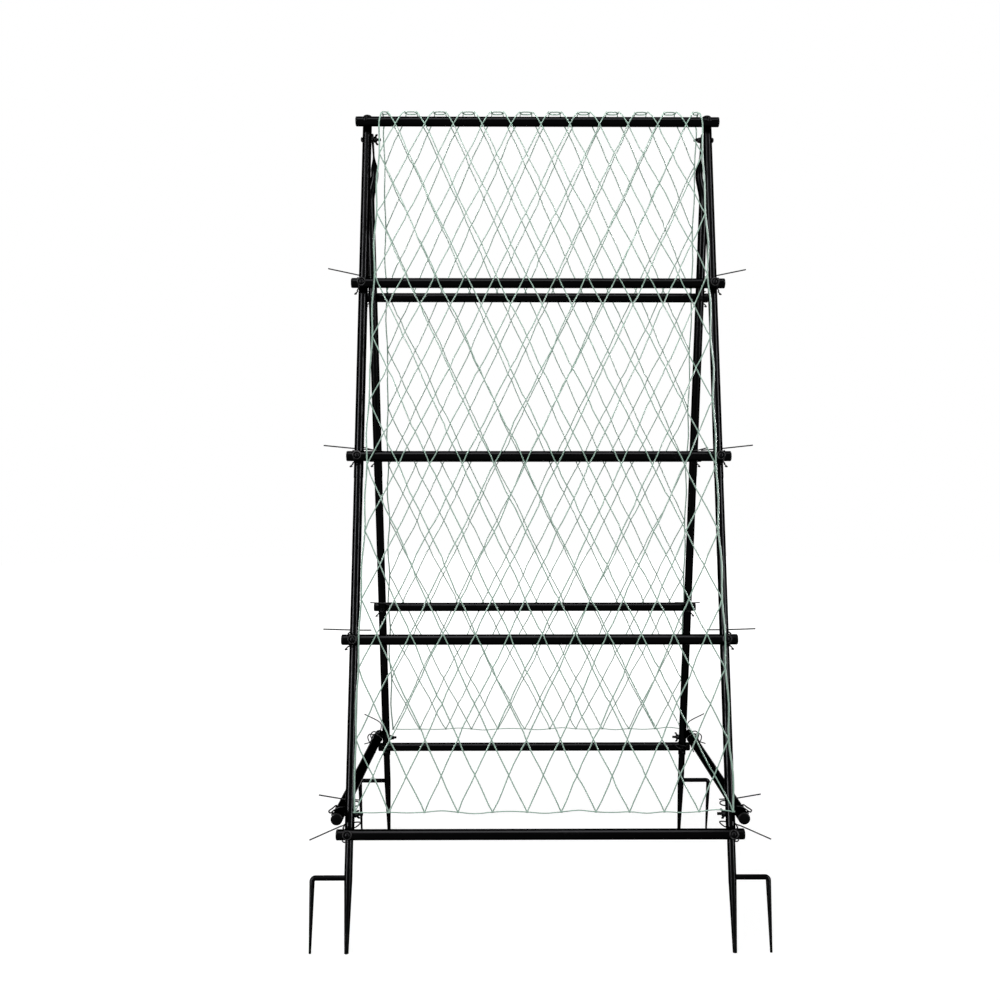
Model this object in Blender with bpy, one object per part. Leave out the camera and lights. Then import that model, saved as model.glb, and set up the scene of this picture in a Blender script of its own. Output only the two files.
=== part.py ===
"""A folding A-frame garden trellis of black steel tube with a diamond net.

Two ladder panels lean together under a ridge bar. Side braces hold them apart, wing nuts hold the braces
and the fold, and forked stakes go into the soil. Metres, +Z up. The origin is on the ground in the middle
of the four stakes, the front is -Y, and left is -X.
"""

import math

import bmesh
import bpy
from mathutils import Vector

# Panels: each is measured from the apex, where the lines of the front and back uprights cross.
LEAN = math.radians(12.0)
APEX_HEIGHT = 1.2858
HALF_SPAN = 0.2825
FRONT, BACK = "front", "back"
LEFT, RIGHT = -1, 1
SIDE_NAMES = {LEFT: "left", RIGHT: "right"}

# Gaps between pieces that touch, and round pins in their holes.
SEAT_GAP = 0.0003

# Crossbars, measured down the upright from the apex.
BAR_LENGTH = 0.600
BAR_RADIUS = 0.0080
BAR_END_ROUND = 0.0016
RIDGE_BAR_DROP = 0.0141
FIRST_BAR_DROP = 0.2946
BAR_PITCH = 0.2840
LADDER_BARS = (2, 3, 4, 5)

# Uprights: an upper and a lower tube on each corner, joined by a spigot under the third bar's bolt.
UPPER_RADIUS = 0.0075
LOWER_RADIUS = 0.0071
UPRIGHT_TOP_RISE = 0.0040
TUBE_JOINT_DROP = 0.6100
SPIGOT_LENGTH = 0.0450
SOCKET_RADIUS = 0.0064
LOWER_END_DROP = 1.1550

# Ridge joint: the top of each back upright is cranked inwards, bent forwards and pressed into a flat ear.
PIVOT_DROP = 0.0380
CRANK_START_DROP = 0.1340
CRANK_THINNING = 0.0012
CRANK_SHARES = (0.25, 0.5, 0.75, 0.95)
BEND_DROP = 0.0850
EAR_INSET = 0.0093
EAR_HALF_THICKNESS = 0.0013
EAR_HALF_WIDTH = 0.0095
EAR_FLAT_LENGTH = 0.0240
EAR_PRESS_SHARES = (0.08, 0.25, 0.4)
EAR_TIP_ANGLES = (30.0, 55.0, 75.0)

# Forked stake feet.
FOOT_RADIUS = 0.0060
FOOT_TIP_RADIUS = 0.0030
FOOT_TOP_DROP = 1.1280
FOOT_TAPER_DROP = 1.2150
PRONG_DROP = 1.2095
PRONG_OFFSET = 0.0530
PRONG_CORNER = 0.0045
PRONG_CORNER_ANGLES = (0.0, 30.0, 60.0, 90.0)
PRONG_ROD_RADIUS = 0.0039
PRONG_TIP_RADIUS = 0.0017
BELOW_GROUND = 0.0060

# Side braces and their pivots.
BRACE_HEIGHT = 0.1910
BRACE_LENGTH = 0.5170
BRACE_RADIUS = 0.0087

# Bolts, the holes bored for them, and wing nuts.
SHANK_RADIUS = 0.0024
HOLE_RADIUS = 0.00275
BOLT_HOLE_LENGTH = 0.0300
PIVOT_HOLE_LENGTH = 0.0400
HEAD_RADIUS = 0.00425
HEAD_HEIGHT = 0.0026
HEAD_DOME_ANGLES = (0.0, 40.0)
NUT_ROOM = 0.0060
WING_NUT_HEIGHT = 0.0055
WING_NUT_FOOT_RADIUS = 0.0048
WING_NUT_FOOT_HEIGHT = 0.0015
WING_NUT_NECK_RADIUS = 0.0038
WING_REACH = 0.0092
WING_RISE = 0.0090
WING_ROUND = 0.0023
WING_LOBE_ANGLES = (-35.0, 10.0, 55.0, 100.0, 145.0)
WING_FOOT_RISE = 0.0008
WING_NECK_DROP = 0.0006
WING_THICKNESS = 0.0020
WING_TURN = math.radians(45.0)
WING_BOLT_SPARE = 0.0065

# Net: one panel on each side and a strip across the ridge.
NET_CORD = 0.0015
NET_WIDTH = 0.5490
NET_TOP_DROP = 0.0011
NET_BOTTOM_DROP = 1.1140
NET_OUT = 0.0250
NET_COLUMNS = 9
NET_ROWS = 7
RIDGE_NET_RISE = 0.0060
RIDGE_NET_DEPTH = 0.0485

# Facets round each kind of piece, and the angle from which an edge is shaded sharp.
TUBE_SIDES = 16
ROD_SIDES = 12
BOLT_SIDES = 10
SHARP_ANGLE = math.radians(35.0)
MERGE_DISTANCE = 1e-6

# Colours of the three finishes.
PAINT_COLOUR = (0.012, 0.012, 0.013)
STEEL_COLOUR = (0.045, 0.045, 0.048)
CORD_COLOUR = (0.36, 0.60, 0.47)


def shaded(name, colour, roughness, metallic):
    """A Principled material."""
    material = bpy.data.materials.new(name)
    material.use_nodes = True
    shader = material.node_tree.nodes["Principled BSDF"]
    shader.inputs["Base Color"].default_value = (*colour, 1.0)
    shader.inputs["Roughness"].default_value = roughness
    shader.inputs["Metallic"].default_value = metallic
    return material


def black_paint(name):
    return shaded(name + "_paint", PAINT_COLOUR, roughness=0.28, metallic=0.0)


def dark_steel(name):
    return shaded(name + "_steel", STEEL_COLOUR, roughness=0.40, metallic=0.9)


def mint_cord(name):
    return shaded(name + "_cord", CORD_COLOUR, roughness=0.55, metallic=0.0)


def finished_mesh(name, bm):
    """A mesh from a closed bmesh, facing out and shaded smooth between its sharp edges."""
    bmesh.ops.recalc_face_normals(bm, faces=bm.faces)
    mesh = bpy.data.meshes.new(name)
    bm.to_mesh(mesh)
    bm.free()
    mesh.shade_smooth()
    mesh.set_sharp_from_angle(angle=SHARP_ANGLE)
    return mesh


def place(name, mesh, parent, location, rotation=(0.0, 0.0, 0.0)):
    """One object at its place under its parent."""
    obj = bpy.data.objects.new(name, mesh)
    bpy.context.scene.collection.objects.link(obj)
    obj.parent = parent
    obj.location = location
    obj.rotation_euler = rotation
    return obj


def paint(obj, finish):
    """Gives the object a material of its own, also where its mesh is shared."""
    if not obj.data.materials:
        obj.data.materials.append(None)
    obj.material_slots[0].link = "OBJECT"
    obj.material_slots[0].material = finish(obj.name)


def combine(obj, tool, operation):
    """Adds or cuts another shape, which then shows only as wire."""
    tool.hide_render = True
    tool.display_type = "WIRE"
    modifier = obj.modifiers.new(tool.name, "BOOLEAN")
    modifier.operation = operation
    modifier.solver = "EXACT"
    modifier.object = tool


def turned(name, profile, sides):
    """A solid turned round Z from (radius, height) points that start and end on the axis."""
    bm = bmesh.new()
    points = [bm.verts.new((radius, 0.0, height)) for radius, height in profile]
    edges = [bm.edges.new(pair) for pair in zip(points, points[1:])]
    bmesh.ops.spin(
        bm,
        geom=points + edges,
        axis=(0.0, 0.0, 1.0),
        cent=(0.0, 0.0, 0.0),
        angle=math.tau,
        steps=sides,
        use_merge=True,
    )
    bmesh.ops.remove_doubles(bm, verts=bm.verts, dist=MERGE_DISTANCE)
    return finished_mesh(name, bm)


def loft(name, rings):
    """A closed skin over rings that all have the same number of points."""
    bm = bmesh.new()
    loops = [[bm.verts.new(point) for point in ring] for ring in rings]
    for low, high in zip(loops, loops[1:]):
        for i in range(len(low)):
            j = (i + 1) % len(low)
            bm.faces.new((low[i], low[j], high[j], high[i]))
    bm.faces.new(loops[0])
    bm.faces.new(loops[-1])
    return finished_mesh(name, bm)


def ring(centre, across, through, half_width, half_thickness, sides):
    """Points round a section: a circle, or a flattened tube where its half width is the larger."""
    straight = half_width - half_thickness
    points = []
    for step in range(sides):
        angle = math.tau * (step + 0.5) / sides
        side = math.copysign(straight, math.cos(angle))
        wide = side + half_thickness * math.cos(angle)
        deep = half_thickness * math.sin(angle)
        points.append(centre + across * wide + through * deep)
    return points


def eased(share):
    """Runs from 0 to 1 with no kink at either end."""
    share = min(max(share, 0.0), 1.0)
    return share * share * (3.0 - 2.0 * share)


def rounded_end(radius, height, rounding, rise):
    """Profile points from a tube's side to its end face, past a rounded rim."""
    steps = [math.radians(angle) for angle in (0.0, 45.0, 90.0)]
    return [
        (
            radius - rounding + rounding * math.cos(angle),
            height - rise * rounding + rise * rounding * math.sin(angle),
        )
        for angle in steps
    ]


def drill(name, obj, holes):
    """Bores round holes, each given by a point and a direction under the object's parent."""
    bm = bmesh.new()
    for point, direction, length in holes:
        made = bmesh.ops.create_cone(
            bm,
            cap_ends=True,
            segments=BOLT_SIDES,
            radius1=HOLE_RADIUS,
            radius2=HOLE_RADIUS,
            depth=length,
        )
        turn = Vector((0.0, 0.0, 1.0)).rotation_difference(Vector(direction))
        bmesh.ops.rotate(bm, verts=made["verts"], matrix=turn.to_matrix())
        bmesh.ops.translate(bm, verts=made["verts"], vec=point)
    tool = place(name, finished_mesh(name, bm), obj.parent, (0.0, 0.0, 0.0))
    combine(obj, tool, "DIFFERENCE")


def bar_drop(number):
    """How far down the upright a ladder bar is, numbered from 2 under the ridge bar."""
    return FIRST_BAR_DROP + BAR_PITCH * (number - LADDER_BARS[0])


def upright_radius(drop):
    return UPPER_RADIUS if drop < TUBE_JOINT_DROP else LOWER_RADIUS


def bar_out(drop):
    """How far a crossbar's axis is outside the upright's axis."""
    return upright_radius(drop) + SEAT_GAP + BAR_RADIUS


def brace_drop():
    """How far down the upright the brace bolts are."""
    return (APEX_HEIGHT - BRACE_HEIGHT) / math.cos(LEAN)


def panel_x(panel, side):
    """The X of a corner's upright in its panel's own axes. The back panel is turned half round."""
    return side * HALF_SPAN * (1 if panel == FRONT else -1)


def corner_name(panel, side):
    return f"{panel}_{SIDE_NAMES[side]}"


def make_axes():
    """Empties on the joint axes, and one at the apex of each panel, whose -Y points out and -Z down."""
    axes = {}
    apex = Vector((0.0, 0.0, APEX_HEIGHT))
    pivot = apex + Vector((0.0, -math.sin(LEAN), -math.cos(LEAN))) * PIVOT_DROP
    fold = place("ridge_fold_axis", None, None, pivot)
    axes[FRONT] = place("front_panel_axes", None, None, apex, (-LEAN, 0.0, 0.0))
    axes[BACK] = place("back_panel_axes", None, fold, apex - pivot, (-LEAN, 0.0, math.pi))
    brace_y = math.sin(LEAN) * brace_drop()
    for side in (LEFT, RIGHT):
        hinge = (side * HALF_SPAN, -brace_y, BRACE_HEIGHT)
        axes[side] = place(SIDE_NAMES[side] + "_brace_axis", None, None, hinge)
    return axes


def bar_profile(radius, length):
    """A capped tube end to end, half its length each way from the middle."""
    half = length / 2.0
    low = rounded_end(radius, -half, BAR_END_ROUND, -1.0)
    high = rounded_end(radius, half, BAR_END_ROUND, 1.0)
    return [(0.0, -half), *reversed(low), *high, (0.0, half)]


def make_crossbar(name, panel, drop, mesh, axes):
    """One crossbar on the outer side of its two uprights, with a hole over each."""
    out = bar_out(drop)
    bar = place(name, mesh, axes[panel], (0.0, -out, -drop), (0.0, math.pi / 2.0, 0.0))
    ends = [(side * HALF_SPAN, -out, -drop) for side in (LEFT, RIGHT)]
    drill(name + "_holes", bar, [(end, (0.0, 1.0, 0.0), BOLT_HOLE_LENGTH) for end in ends])
    paint(bar, black_paint)


def make_crossbars(axes):
    mesh = turned("crossbar", bar_profile(BAR_RADIUS, BAR_LENGTH), TUBE_SIDES)
    make_crossbar("ridge_bar", FRONT, RIDGE_BAR_DROP, mesh, axes)
    for panel in (FRONT, BACK):
        for number in LADDER_BARS:
            make_crossbar(f"{panel}_crossbar_{number}", panel, bar_drop(number), mesh, axes)


def front_upper_mesh():
    """A straight upper tube with a rounded cap on top and a socket in its lower end."""
    cap = rounded_end(UPPER_RADIUS, UPRIGHT_TOP_RISE, BAR_END_ROUND, 1.0)
    socket_top = SPIGOT_LENGTH + SEAT_GAP - TUBE_JOINT_DROP
    profile = [
        (0.0, socket_top),
        (SOCKET_RADIUS, socket_top),
        (SOCKET_RADIUS, -TUBE_JOINT_DROP),
        (UPPER_RADIUS, -TUBE_JOINT_DROP),
        *cap,
        (0.0, UPRIGHT_TOP_RISE),
    ]
    return turned("front_upper_upright", profile, TUBE_SIDES)


def back_upper_mesh(inwards):
    """An upper tube with the same socket, cranked inwards near its top, bent forwards and pressed flat."""
    through = Vector((1.0, 0.0, 0.0))
    back_to_front = Vector((0.0, 1.0, 0.0))
    pivot = Vector((0.0, PIVOT_DROP * math.sin(2 * LEAN), -PIVOT_DROP * math.cos(2 * LEAN)))
    bend = Vector((0.0, 0.0, -BEND_DROP))
    ear_length = (pivot - bend).length
    ear_way = (pivot - bend).normalized()
    ear_across = Vector((0.0, ear_way.z, -ear_way.y))
    flat_share = 1.0 - EAR_FLAT_LENGTH / ear_length
    crank_half = UPPER_RADIUS - CRANK_THINNING
    socket_top = SPIGOT_LENGTH + SEAT_GAP - TUBE_JOINT_DROP

    def straight(radius, height):
        return ring(Vector((0.0, 0.0, height)), back_to_front, through, radius, radius, TUBE_SIDES)

    rings = [
        straight(SOCKET_RADIUS, socket_top),
        straight(SOCKET_RADIUS, -TUBE_JOINT_DROP),
        straight(UPPER_RADIUS, -TUBE_JOINT_DROP),
        straight(UPPER_RADIUS, -CRANK_START_DROP),
    ]
    for share in CRANK_SHARES:
        centre = Vector((0.0, 0.0, -CRANK_START_DROP)).lerp(bend, share)
        centre.x = inwards * EAR_INSET * eased(share)
        thin = UPPER_RADIUS - CRANK_THINNING * eased(share)
        rings.append(ring(centre, back_to_front, through, UPPER_RADIUS, thin, TUBE_SIDES))
    for share in (*EAR_PRESS_SHARES, flat_share, 1.0):
        pressed = eased(share / flat_share)
        centre = bend + ear_way * (share * ear_length)
        centre.x = inwards * EAR_INSET
        wide = UPPER_RADIUS + (EAR_HALF_WIDTH - UPPER_RADIUS) * pressed
        thin = crank_half + (EAR_HALF_THICKNESS - crank_half) * pressed
        rings.append(ring(centre, ear_across, through, wide, thin, TUBE_SIDES))
    for angle in EAR_TIP_ANGLES:
        turn = math.radians(angle)
        centre = pivot + ear_way * (EAR_HALF_WIDTH * math.sin(turn))
        centre.x = inwards * EAR_INSET
        wide = EAR_HALF_WIDTH * math.cos(turn)
        rings.append(ring(centre, ear_across, through, wide, EAR_HALF_THICKNESS, TUBE_SIDES))
    return loft("back_upper_upright", rings)


def lower_mesh():
    """A lower tube with a spigot on top and a socket for the foot in its lower end."""
    spigot_radius = SOCKET_RADIUS - SEAT_GAP
    shoulder = -TUBE_JOINT_DROP - SEAT_GAP
    foot_socket = FOOT_RADIUS + SEAT_GAP
    profile = [
        (0.0, shoulder + SPIGOT_LENGTH),
        (spigot_radius, shoulder + SPIGOT_LENGTH),
        (spigot_radius, shoulder),
        (LOWER_RADIUS, shoulder),
        (LOWER_RADIUS, -LOWER_END_DROP),
        (foot_socket, -LOWER_END_DROP),
        (foot_socket, SEAT_GAP - FOOT_TOP_DROP),
        (0.0, SEAT_GAP - FOOT_TOP_DROP),
    ]
    return turned("lower_upright", profile, TUBE_SIDES)


def bolt_hole(x, drop):
    """A hole through the upright where a crossbar's bolt goes."""
    return (x, 0.0, -drop), (0.0, 1.0, 0.0), BOLT_HOLE_LENGTH


def side_hole(x, y, drop):
    """A hole across the upright where a pivot bolt goes."""
    return (x, y, -drop), (1.0, 0.0, 0.0), PIVOT_HOLE_LENGTH


def make_uprights(axes):
    front_mesh = front_upper_mesh()
    ear_meshes = {inwards: back_upper_mesh(inwards) for inwards in (LEFT, RIGHT)}
    low_mesh = lower_mesh()
    for panel in (FRONT, BACK):
        for side in (LEFT, RIGHT):
            x = panel_x(panel, side)
            name = corner_name(panel, side) + "_upper_upright"
            mesh = front_mesh if panel == FRONT else ear_meshes[int(-math.copysign(1, x))]
            upper = place(name, mesh, axes[panel], (x, 0.0, 0.0))
            holes = [bolt_hole(x, bar_drop(number)) for number in (2, 3)]
            if panel == FRONT:
                holes += [bolt_hole(x, RIDGE_BAR_DROP), side_hole(x, 0.0, PIVOT_DROP)]
            else:
                pivot_y = PIVOT_DROP * math.sin(2 * LEAN)
                holes.append(side_hole(x, pivot_y, PIVOT_DROP * math.cos(2 * LEAN)))
            drill(name + "_holes", upper, holes)
            paint(upper, black_paint)

            name = corner_name(panel, side) + "_lower_upright"
            lower = place(name, low_mesh, axes[panel], (x, 0.0, 0.0))
            holes = [bolt_hole(x, bar_drop(number)) for number in (3, 4, 5)]
            drill(name + "_holes", lower, [*holes, side_hole(x, 0.0, brace_drop())])
            paint(lower, black_paint)


def prong_mesh(outwards):
    """A rod that leaves the spike sideways, turns down in a round corner and tapers to its tip."""
    through = Vector((0.0, 1.0, 0.0))
    tip_drop = APEX_HEIGHT / math.cos(LEAN) + BELOW_GROUND
    corner = Vector((outwards * (PRONG_OFFSET - PRONG_CORNER), 0.0, -PRONG_DROP - PRONG_CORNER))
    rings = [
        ring(Vector((0.0, 0.0, -PRONG_DROP)), Vector((0.0, 0.0, 1.0)), through,
             PRONG_ROD_RADIUS, PRONG_ROD_RADIUS, ROD_SIDES)
    ]
    for angle in PRONG_CORNER_ANGLES:
        turn = math.radians(angle)
        away = Vector((outwards * math.sin(turn), 0.0, math.cos(turn)))
        rings.append(
            ring(corner + away * PRONG_CORNER, away, through,
                 PRONG_ROD_RADIUS, PRONG_ROD_RADIUS, ROD_SIDES)
        )
    tip = Vector((outwards * PRONG_OFFSET, 0.0, -tip_drop))
    away = Vector((outwards, 0.0, 0.0))
    rings.append(ring(tip, away, through, PRONG_TIP_RADIUS, PRONG_TIP_RADIUS, ROD_SIDES))
    return loft("prong", rings)


def spike_mesh():
    """A round shank that fits up inside the tube, and a long taper to the tip."""
    tip_drop = APEX_HEIGHT / math.cos(LEAN) + BELOW_GROUND
    profile = [
        (0.0, -FOOT_TOP_DROP),
        (FOOT_RADIUS, -FOOT_TOP_DROP),
        (FOOT_RADIUS, -FOOT_TAPER_DROP),
        (FOOT_TIP_RADIUS, -tip_drop),
        (0.0, -tip_drop),
    ]
    return turned("spike", profile, TUBE_SIDES)


def make_feet(axes):
    """Four forked stakes, cut level with the ground and pinned by the lowest crossbar's bolts."""
    spike = spike_mesh()
    prongs = {outwards: prong_mesh(outwards) for outwards in (LEFT, RIGHT)}
    bm = bmesh.new()
    bmesh.ops.create_cube(bm, size=1.0)
    soil = place("soil_level", finished_mesh("soil_level", bm), None, (0.0, 0.0, -0.5))
    for panel in (FRONT, BACK):
        for side in (LEFT, RIGHT):
            x = panel_x(panel, side)
            name = corner_name(panel, side) + "_stake_foot"
            foot = place(name, spike, axes[panel], (x, 0.0, 0.0))
            prong = place(name + "_prong", prongs[int(math.copysign(1, x))], axes[panel], (x, 0.0, 0.0))
            combine(foot, prong, "UNION")
            combine(foot, soil, "DIFFERENCE")
            drill(name + "_holes", foot, [bolt_hole(x, bar_drop(LADDER_BARS[-1]))])
            paint(foot, black_paint)


def bolt_mesh(length):
    """A domed bolt whose head sits on z = 0 and whose shank runs down."""
    turns = [math.radians(angle) for angle in HEAD_DOME_ANGLES]
    dome = [(HEAD_RADIUS * math.cos(turn), HEAD_HEIGHT * math.sin(turn)) for turn in turns]
    profile = [
        (0.0, -length),
        (SHANK_RADIUS, -length),
        (SHANK_RADIUS, 0.0),
        *dome,
        (0.0, HEAD_HEIGHT),
    ]
    return turned("bolt", profile, BOLT_SIDES)


def make_crossbar_bolts(axes):
    """Two bolts through each crossbar and the uprights behind it."""
    length = SEAT_GAP + 2 * (BAR_RADIUS + UPPER_RADIUS) + NUT_ROOM
    mesh = bolt_mesh(length)
    face_out = (math.pi / 2.0, 0.0, 0.0)
    drops = [(FRONT, "ridge_bar", RIDGE_BAR_DROP)]
    for panel in (FRONT, BACK):
        drops += [(panel, f"{panel}_crossbar_{number}", bar_drop(number)) for number in LADDER_BARS]
    for panel, bar, drop in drops:
        for side in (LEFT, RIGHT):
            seat = -bar_out(drop) - BAR_RADIUS - SEAT_GAP
            location = (panel_x(panel, side), seat, -drop)
            bolt = place(f"{bar}_{SIDE_NAMES[side]}_bolt", mesh, axes[panel], location, face_out)
            paint(bolt, dark_steel)


def lengthways(side):
    """The turn that points a bolt's head, or the foot of a wing nut, at the outer side."""
    return (0.0, side * math.pi / 2.0, 0.0)


def wing_nut_mesh():
    """The body of a wing nut, which stands on z = 0 with its top at +z."""
    profile = [
        (0.0, 0.0),
        (WING_NUT_FOOT_RADIUS, 0.0),
        (WING_NUT_FOOT_RADIUS, WING_NUT_FOOT_HEIGHT),
        (WING_NUT_NECK_RADIUS, WING_NUT_HEIGHT),
        (0.0, WING_NUT_HEIGHT),
    ]
    return turned("wing_nut", profile, ROD_SIDES)


def wings_mesh():
    """Both wings as one plate: each rises outwards to a round lobe."""
    lobe_x = WING_REACH - WING_ROUND
    lobe_z = WING_RISE - WING_ROUND
    neck_z = WING_NUT_HEIGHT - WING_NECK_DROP
    outline = [(0.0, WING_FOOT_RISE), (WING_NUT_FOOT_RADIUS, WING_FOOT_RISE)]
    for angle in WING_LOBE_ANGLES:
        turn = math.radians(angle)
        outline.append((lobe_x + WING_ROUND * math.cos(turn), lobe_z + WING_ROUND * math.sin(turn)))
    outline += [(WING_NUT_NECK_RADIUS, neck_z), (0.0, neck_z)]
    whole = outline + [(-x, z) for x, z in reversed(outline[1:-1])]
    along = Vector((math.cos(WING_TURN), math.sin(WING_TURN), 0.0))
    sideways = Vector((-math.sin(WING_TURN), math.cos(WING_TURN), 0.0)) * (WING_THICKNESS / 2.0)
    plate = [along * x + Vector((0.0, 0.0, z)) for x, z in whole]
    return loft("wings", [[point - sideways for point in plate], [point + sideways for point in plate]])


def make_wing_nut(name, parent, location, side, body, wings):
    """One wing nut on the inner side, with its foot towards the outer side."""
    turn = lengthways(-side)
    nut = place(name, body, parent, location, turn)
    combine(nut, place(name + "_wings", wings, parent, location, turn), "UNION")
    drill(name + "_hole", nut, [(location, (1.0, 0.0, 0.0), PIVOT_HOLE_LENGTH)])
    paint(nut, dark_steel)


def make_ridge_pivots(axes):
    """The bolts that the back panel folds on, through the front uprights and the ears, and their nuts."""
    reach = UPPER_RADIUS + EAR_INSET + EAR_HALF_THICKNESS + 2 * SEAT_GAP
    length = reach + WING_NUT_HEIGHT + WING_BOLT_SPARE
    mesh = bolt_mesh(length)
    body, wings = wing_nut_mesh(), wings_mesh()
    for side in (LEFT, RIGHT):
        name = SIDE_NAMES[side] + "_ridge"
        outer = HALF_SPAN + UPPER_RADIUS + SEAT_GAP
        location = (side * outer, 0.0, -PIVOT_DROP)
        paint(place(name + "_bolt", mesh, axes[FRONT], location, lengthways(side)), dark_steel)
        location = (side * (outer - reach - SEAT_GAP), 0.0, -PIVOT_DROP)
        make_wing_nut(name + "_wing_nut", axes[FRONT], location, side, body, wings)


def make_braces(axes):
    """Each brace runs from front to back outside the uprights and swings on its front bolt."""
    brace_mesh = turned("brace", bar_profile(BRACE_RADIUS, BRACE_LENGTH), TUBE_SIDES)
    body, wings = wing_nut_mesh(), wings_mesh()
    middle_y = math.sin(LEAN) * brace_drop()
    out = LOWER_RADIUS + SEAT_GAP + BRACE_RADIUS
    nut_x = LOWER_RADIUS + SEAT_GAP
    head_x = out + BRACE_RADIUS + SEAT_GAP
    bolt = bolt_mesh(head_x + nut_x + WING_NUT_HEIGHT + WING_BOLT_SPARE)
    rear_head = bolt_mesh(2 * BRACE_RADIUS + SEAT_GAP)
    rear_end = rear_bolt_end_mesh(nut_x + LOWER_RADIUS + WING_NUT_HEIGHT + WING_BOLT_SPARE)
    for side in (LEFT, RIGHT):
        name = SIDE_NAMES[side] + "_brace"
        hinge = axes[side]
        back_y = 2 * middle_y
        brace = place(name, brace_mesh, hinge, (side * out, middle_y, 0.0), (math.pi / 2.0, 0.0, 0.0))
        crossways = (1.0, 0.0, 0.0)
        holes = [((side * out, y, 0.0), crossways, BOLT_HOLE_LENGTH) for y in (0.0, back_y)]
        drill(name + "_holes", brace, holes)
        paint(brace, black_paint)

        turn = lengthways(side)
        front = axes[FRONT]
        front_x = side * HALF_SPAN
        drop = -brace_drop()
        head = (front_x + side * head_x, 0.0, drop)
        paint(place(name + "_front_bolt", bolt, front, head, turn), dark_steel)
        make_wing_nut(
            name + "_front_wing_nut", front, (front_x - side * nut_x, 0.0, drop), side, body, wings
        )

        head = (side * head_x, back_y, 0.0)
        paint(place(name + "_rear_bolt", rear_head, hinge, head, turn), dark_steel)
        back_x = panel_x(BACK, side)
        away = int(math.copysign(1, back_x))
        start = (back_x + away * LOWER_RADIUS, 0.0, drop)
        paint(
            place(name + "_rear_bolt_end", rear_end, axes[BACK], start, lengthways(away)), dark_steel
        )
        make_wing_nut(
            name + "_rear_wing_nut", axes[BACK], (back_x - away * nut_x, 0.0, drop), away, body, wings
        )


def rear_bolt_end_mesh(length):
    """The far end of a rear brace bolt, which stays in the back upright when the brace is let go."""
    profile = [(0.0, -length), (SHANK_RADIUS, -length), (SHANK_RADIUS, 0.0), (0.0, 0.0)]
    return turned("rear_bolt_end", profile, BOLT_SIDES)


def net_mesh(name, gaps, width, height):
    """Flat cords left between gaps. Each gap is a face that is inset by half a cord and taken out."""
    half = NET_CORD / 2.0
    bm = bmesh.new()
    corners = {}
    for outline in gaps:
        face = []
        for point in outline:
            if point not in corners:
                corners[point] = bm.verts.new((point[0], 0.0, point[1]))
            face.append(corners[point])
        bm.faces.new(face)
    holes = list(bm.faces)
    bmesh.ops.recalc_face_normals(bm, faces=holes)
    rim = [edge for edge in bm.edges if edge.is_boundary]
    spread = bmesh.ops.extrude_edge_only(bm, edges=rim)["geom"]
    moved = [item for item in spread if isinstance(item, bmesh.types.BMVert)]
    growth = (1.0 + 2.0 * half / width, 1.0, 1.0 + 2.0 * half / height)
    bmesh.ops.scale(bm, vec=growth, verts=moved)
    bmesh.ops.inset_individual(bm, faces=holes, thickness=half, use_even_offset=True)
    bmesh.ops.delete(bm, geom=holes, context="FACES_ONLY")
    return finished_mesh(name, bm)


def diamond_gaps(width, height):
    """Outlines of the diamonds, and of the part diamonds along the edges."""
    last_x, last_z = 2 * NET_COLUMNS, 2 * NET_ROWS
    gaps = []
    for i in range(last_x + 1):
        for j in range(last_z + 1):
            if (i + j) % 2:
                continue
            around = [(i - 1, j), (i, j - 1), (i + 1, j), (i, j + 1)]
            kept = [(a, b) for a, b in around if 0 <= a <= last_x and 0 <= b <= last_z]
            if len(kept) == 2:
                kept.append((i, j))
            gaps.append([(width * (a / last_x - 0.5), height * (b / last_z - 0.5)) for a, b in kept])
    return gaps


def rung_gaps(width, height):
    """Outlines of the gaps in the ridge strip, between cords that carry on from the diamonds' points."""
    pitch = width / NET_COLUMNS
    ends = [pitch * (column + 0.5) - width / 2.0 for column in range(NET_COLUMNS)]
    stops = [-width / 2.0, *ends, width / 2.0]
    low, high = -height / 2.0, height / 2.0
    return [[(a, low), (b, low), (b, high), (a, high)] for a, b in zip(stops, stops[1:])]


def hang_net(name, mesh, parent, location, rotation=(0.0, 0.0, 0.0)):
    """Gives a flat net the thickness of its cord."""
    net = place(name, mesh, parent, location, rotation)
    thicken = net.modifiers.new("cord", "SOLIDIFY")
    thicken.thickness = NET_CORD
    thicken.offset = 0.0
    paint(net, mint_cord)


def make_nets(axes):
    """The net lies outside the crossbars on both panels, and its strip bridges the ridge bar."""
    height = NET_BOTTOM_DROP - NET_TOP_DROP
    middle = (0.0, -NET_OUT, -(NET_TOP_DROP + NET_BOTTOM_DROP) / 2.0)
    panel_net = net_mesh("panel_net", diamond_gaps(NET_WIDTH, height), NET_WIDTH, height)
    for panel in (FRONT, BACK):
        hang_net(panel + "_net", panel_net, axes[panel], middle)
    strip = net_mesh("ridge_net", rung_gaps(NET_WIDTH, RIDGE_NET_DEPTH), NET_WIDTH, RIDGE_NET_DEPTH)
    top = (0.0, 0.0, APEX_HEIGHT + RIDGE_NET_RISE)
    hang_net("ridge_net", strip, None, top, (math.pi / 2.0, 0.0, 0.0))


def main():
    for obj in list(bpy.data.objects):
        bpy.data.objects.remove(obj)
    axes = make_axes()
    make_uprights(axes)
    make_feet(axes)
    make_crossbars(axes)
    make_crossbar_bolts(axes)
    make_ridge_pivots(axes)
    make_braces(axes)
    make_nets(axes)


main()
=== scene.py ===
"""Looks of a folding A-frame trellis: fine black tubes, dark fastenings, a mint diamond net and wire ties.

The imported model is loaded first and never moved. Each class below makes one group of pieces round it, in
metres, with the ground at z = 0, the front at -Y and the left at -X.
"""

from __future__ import annotations

import logging
import math
import random
from collections.abc import Callable, Iterable, Sequence
from dataclasses import dataclass, field
from enum import Enum
from typing import Any

import bmesh
import bpy
from mathutils import Matrix, Vector


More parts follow.
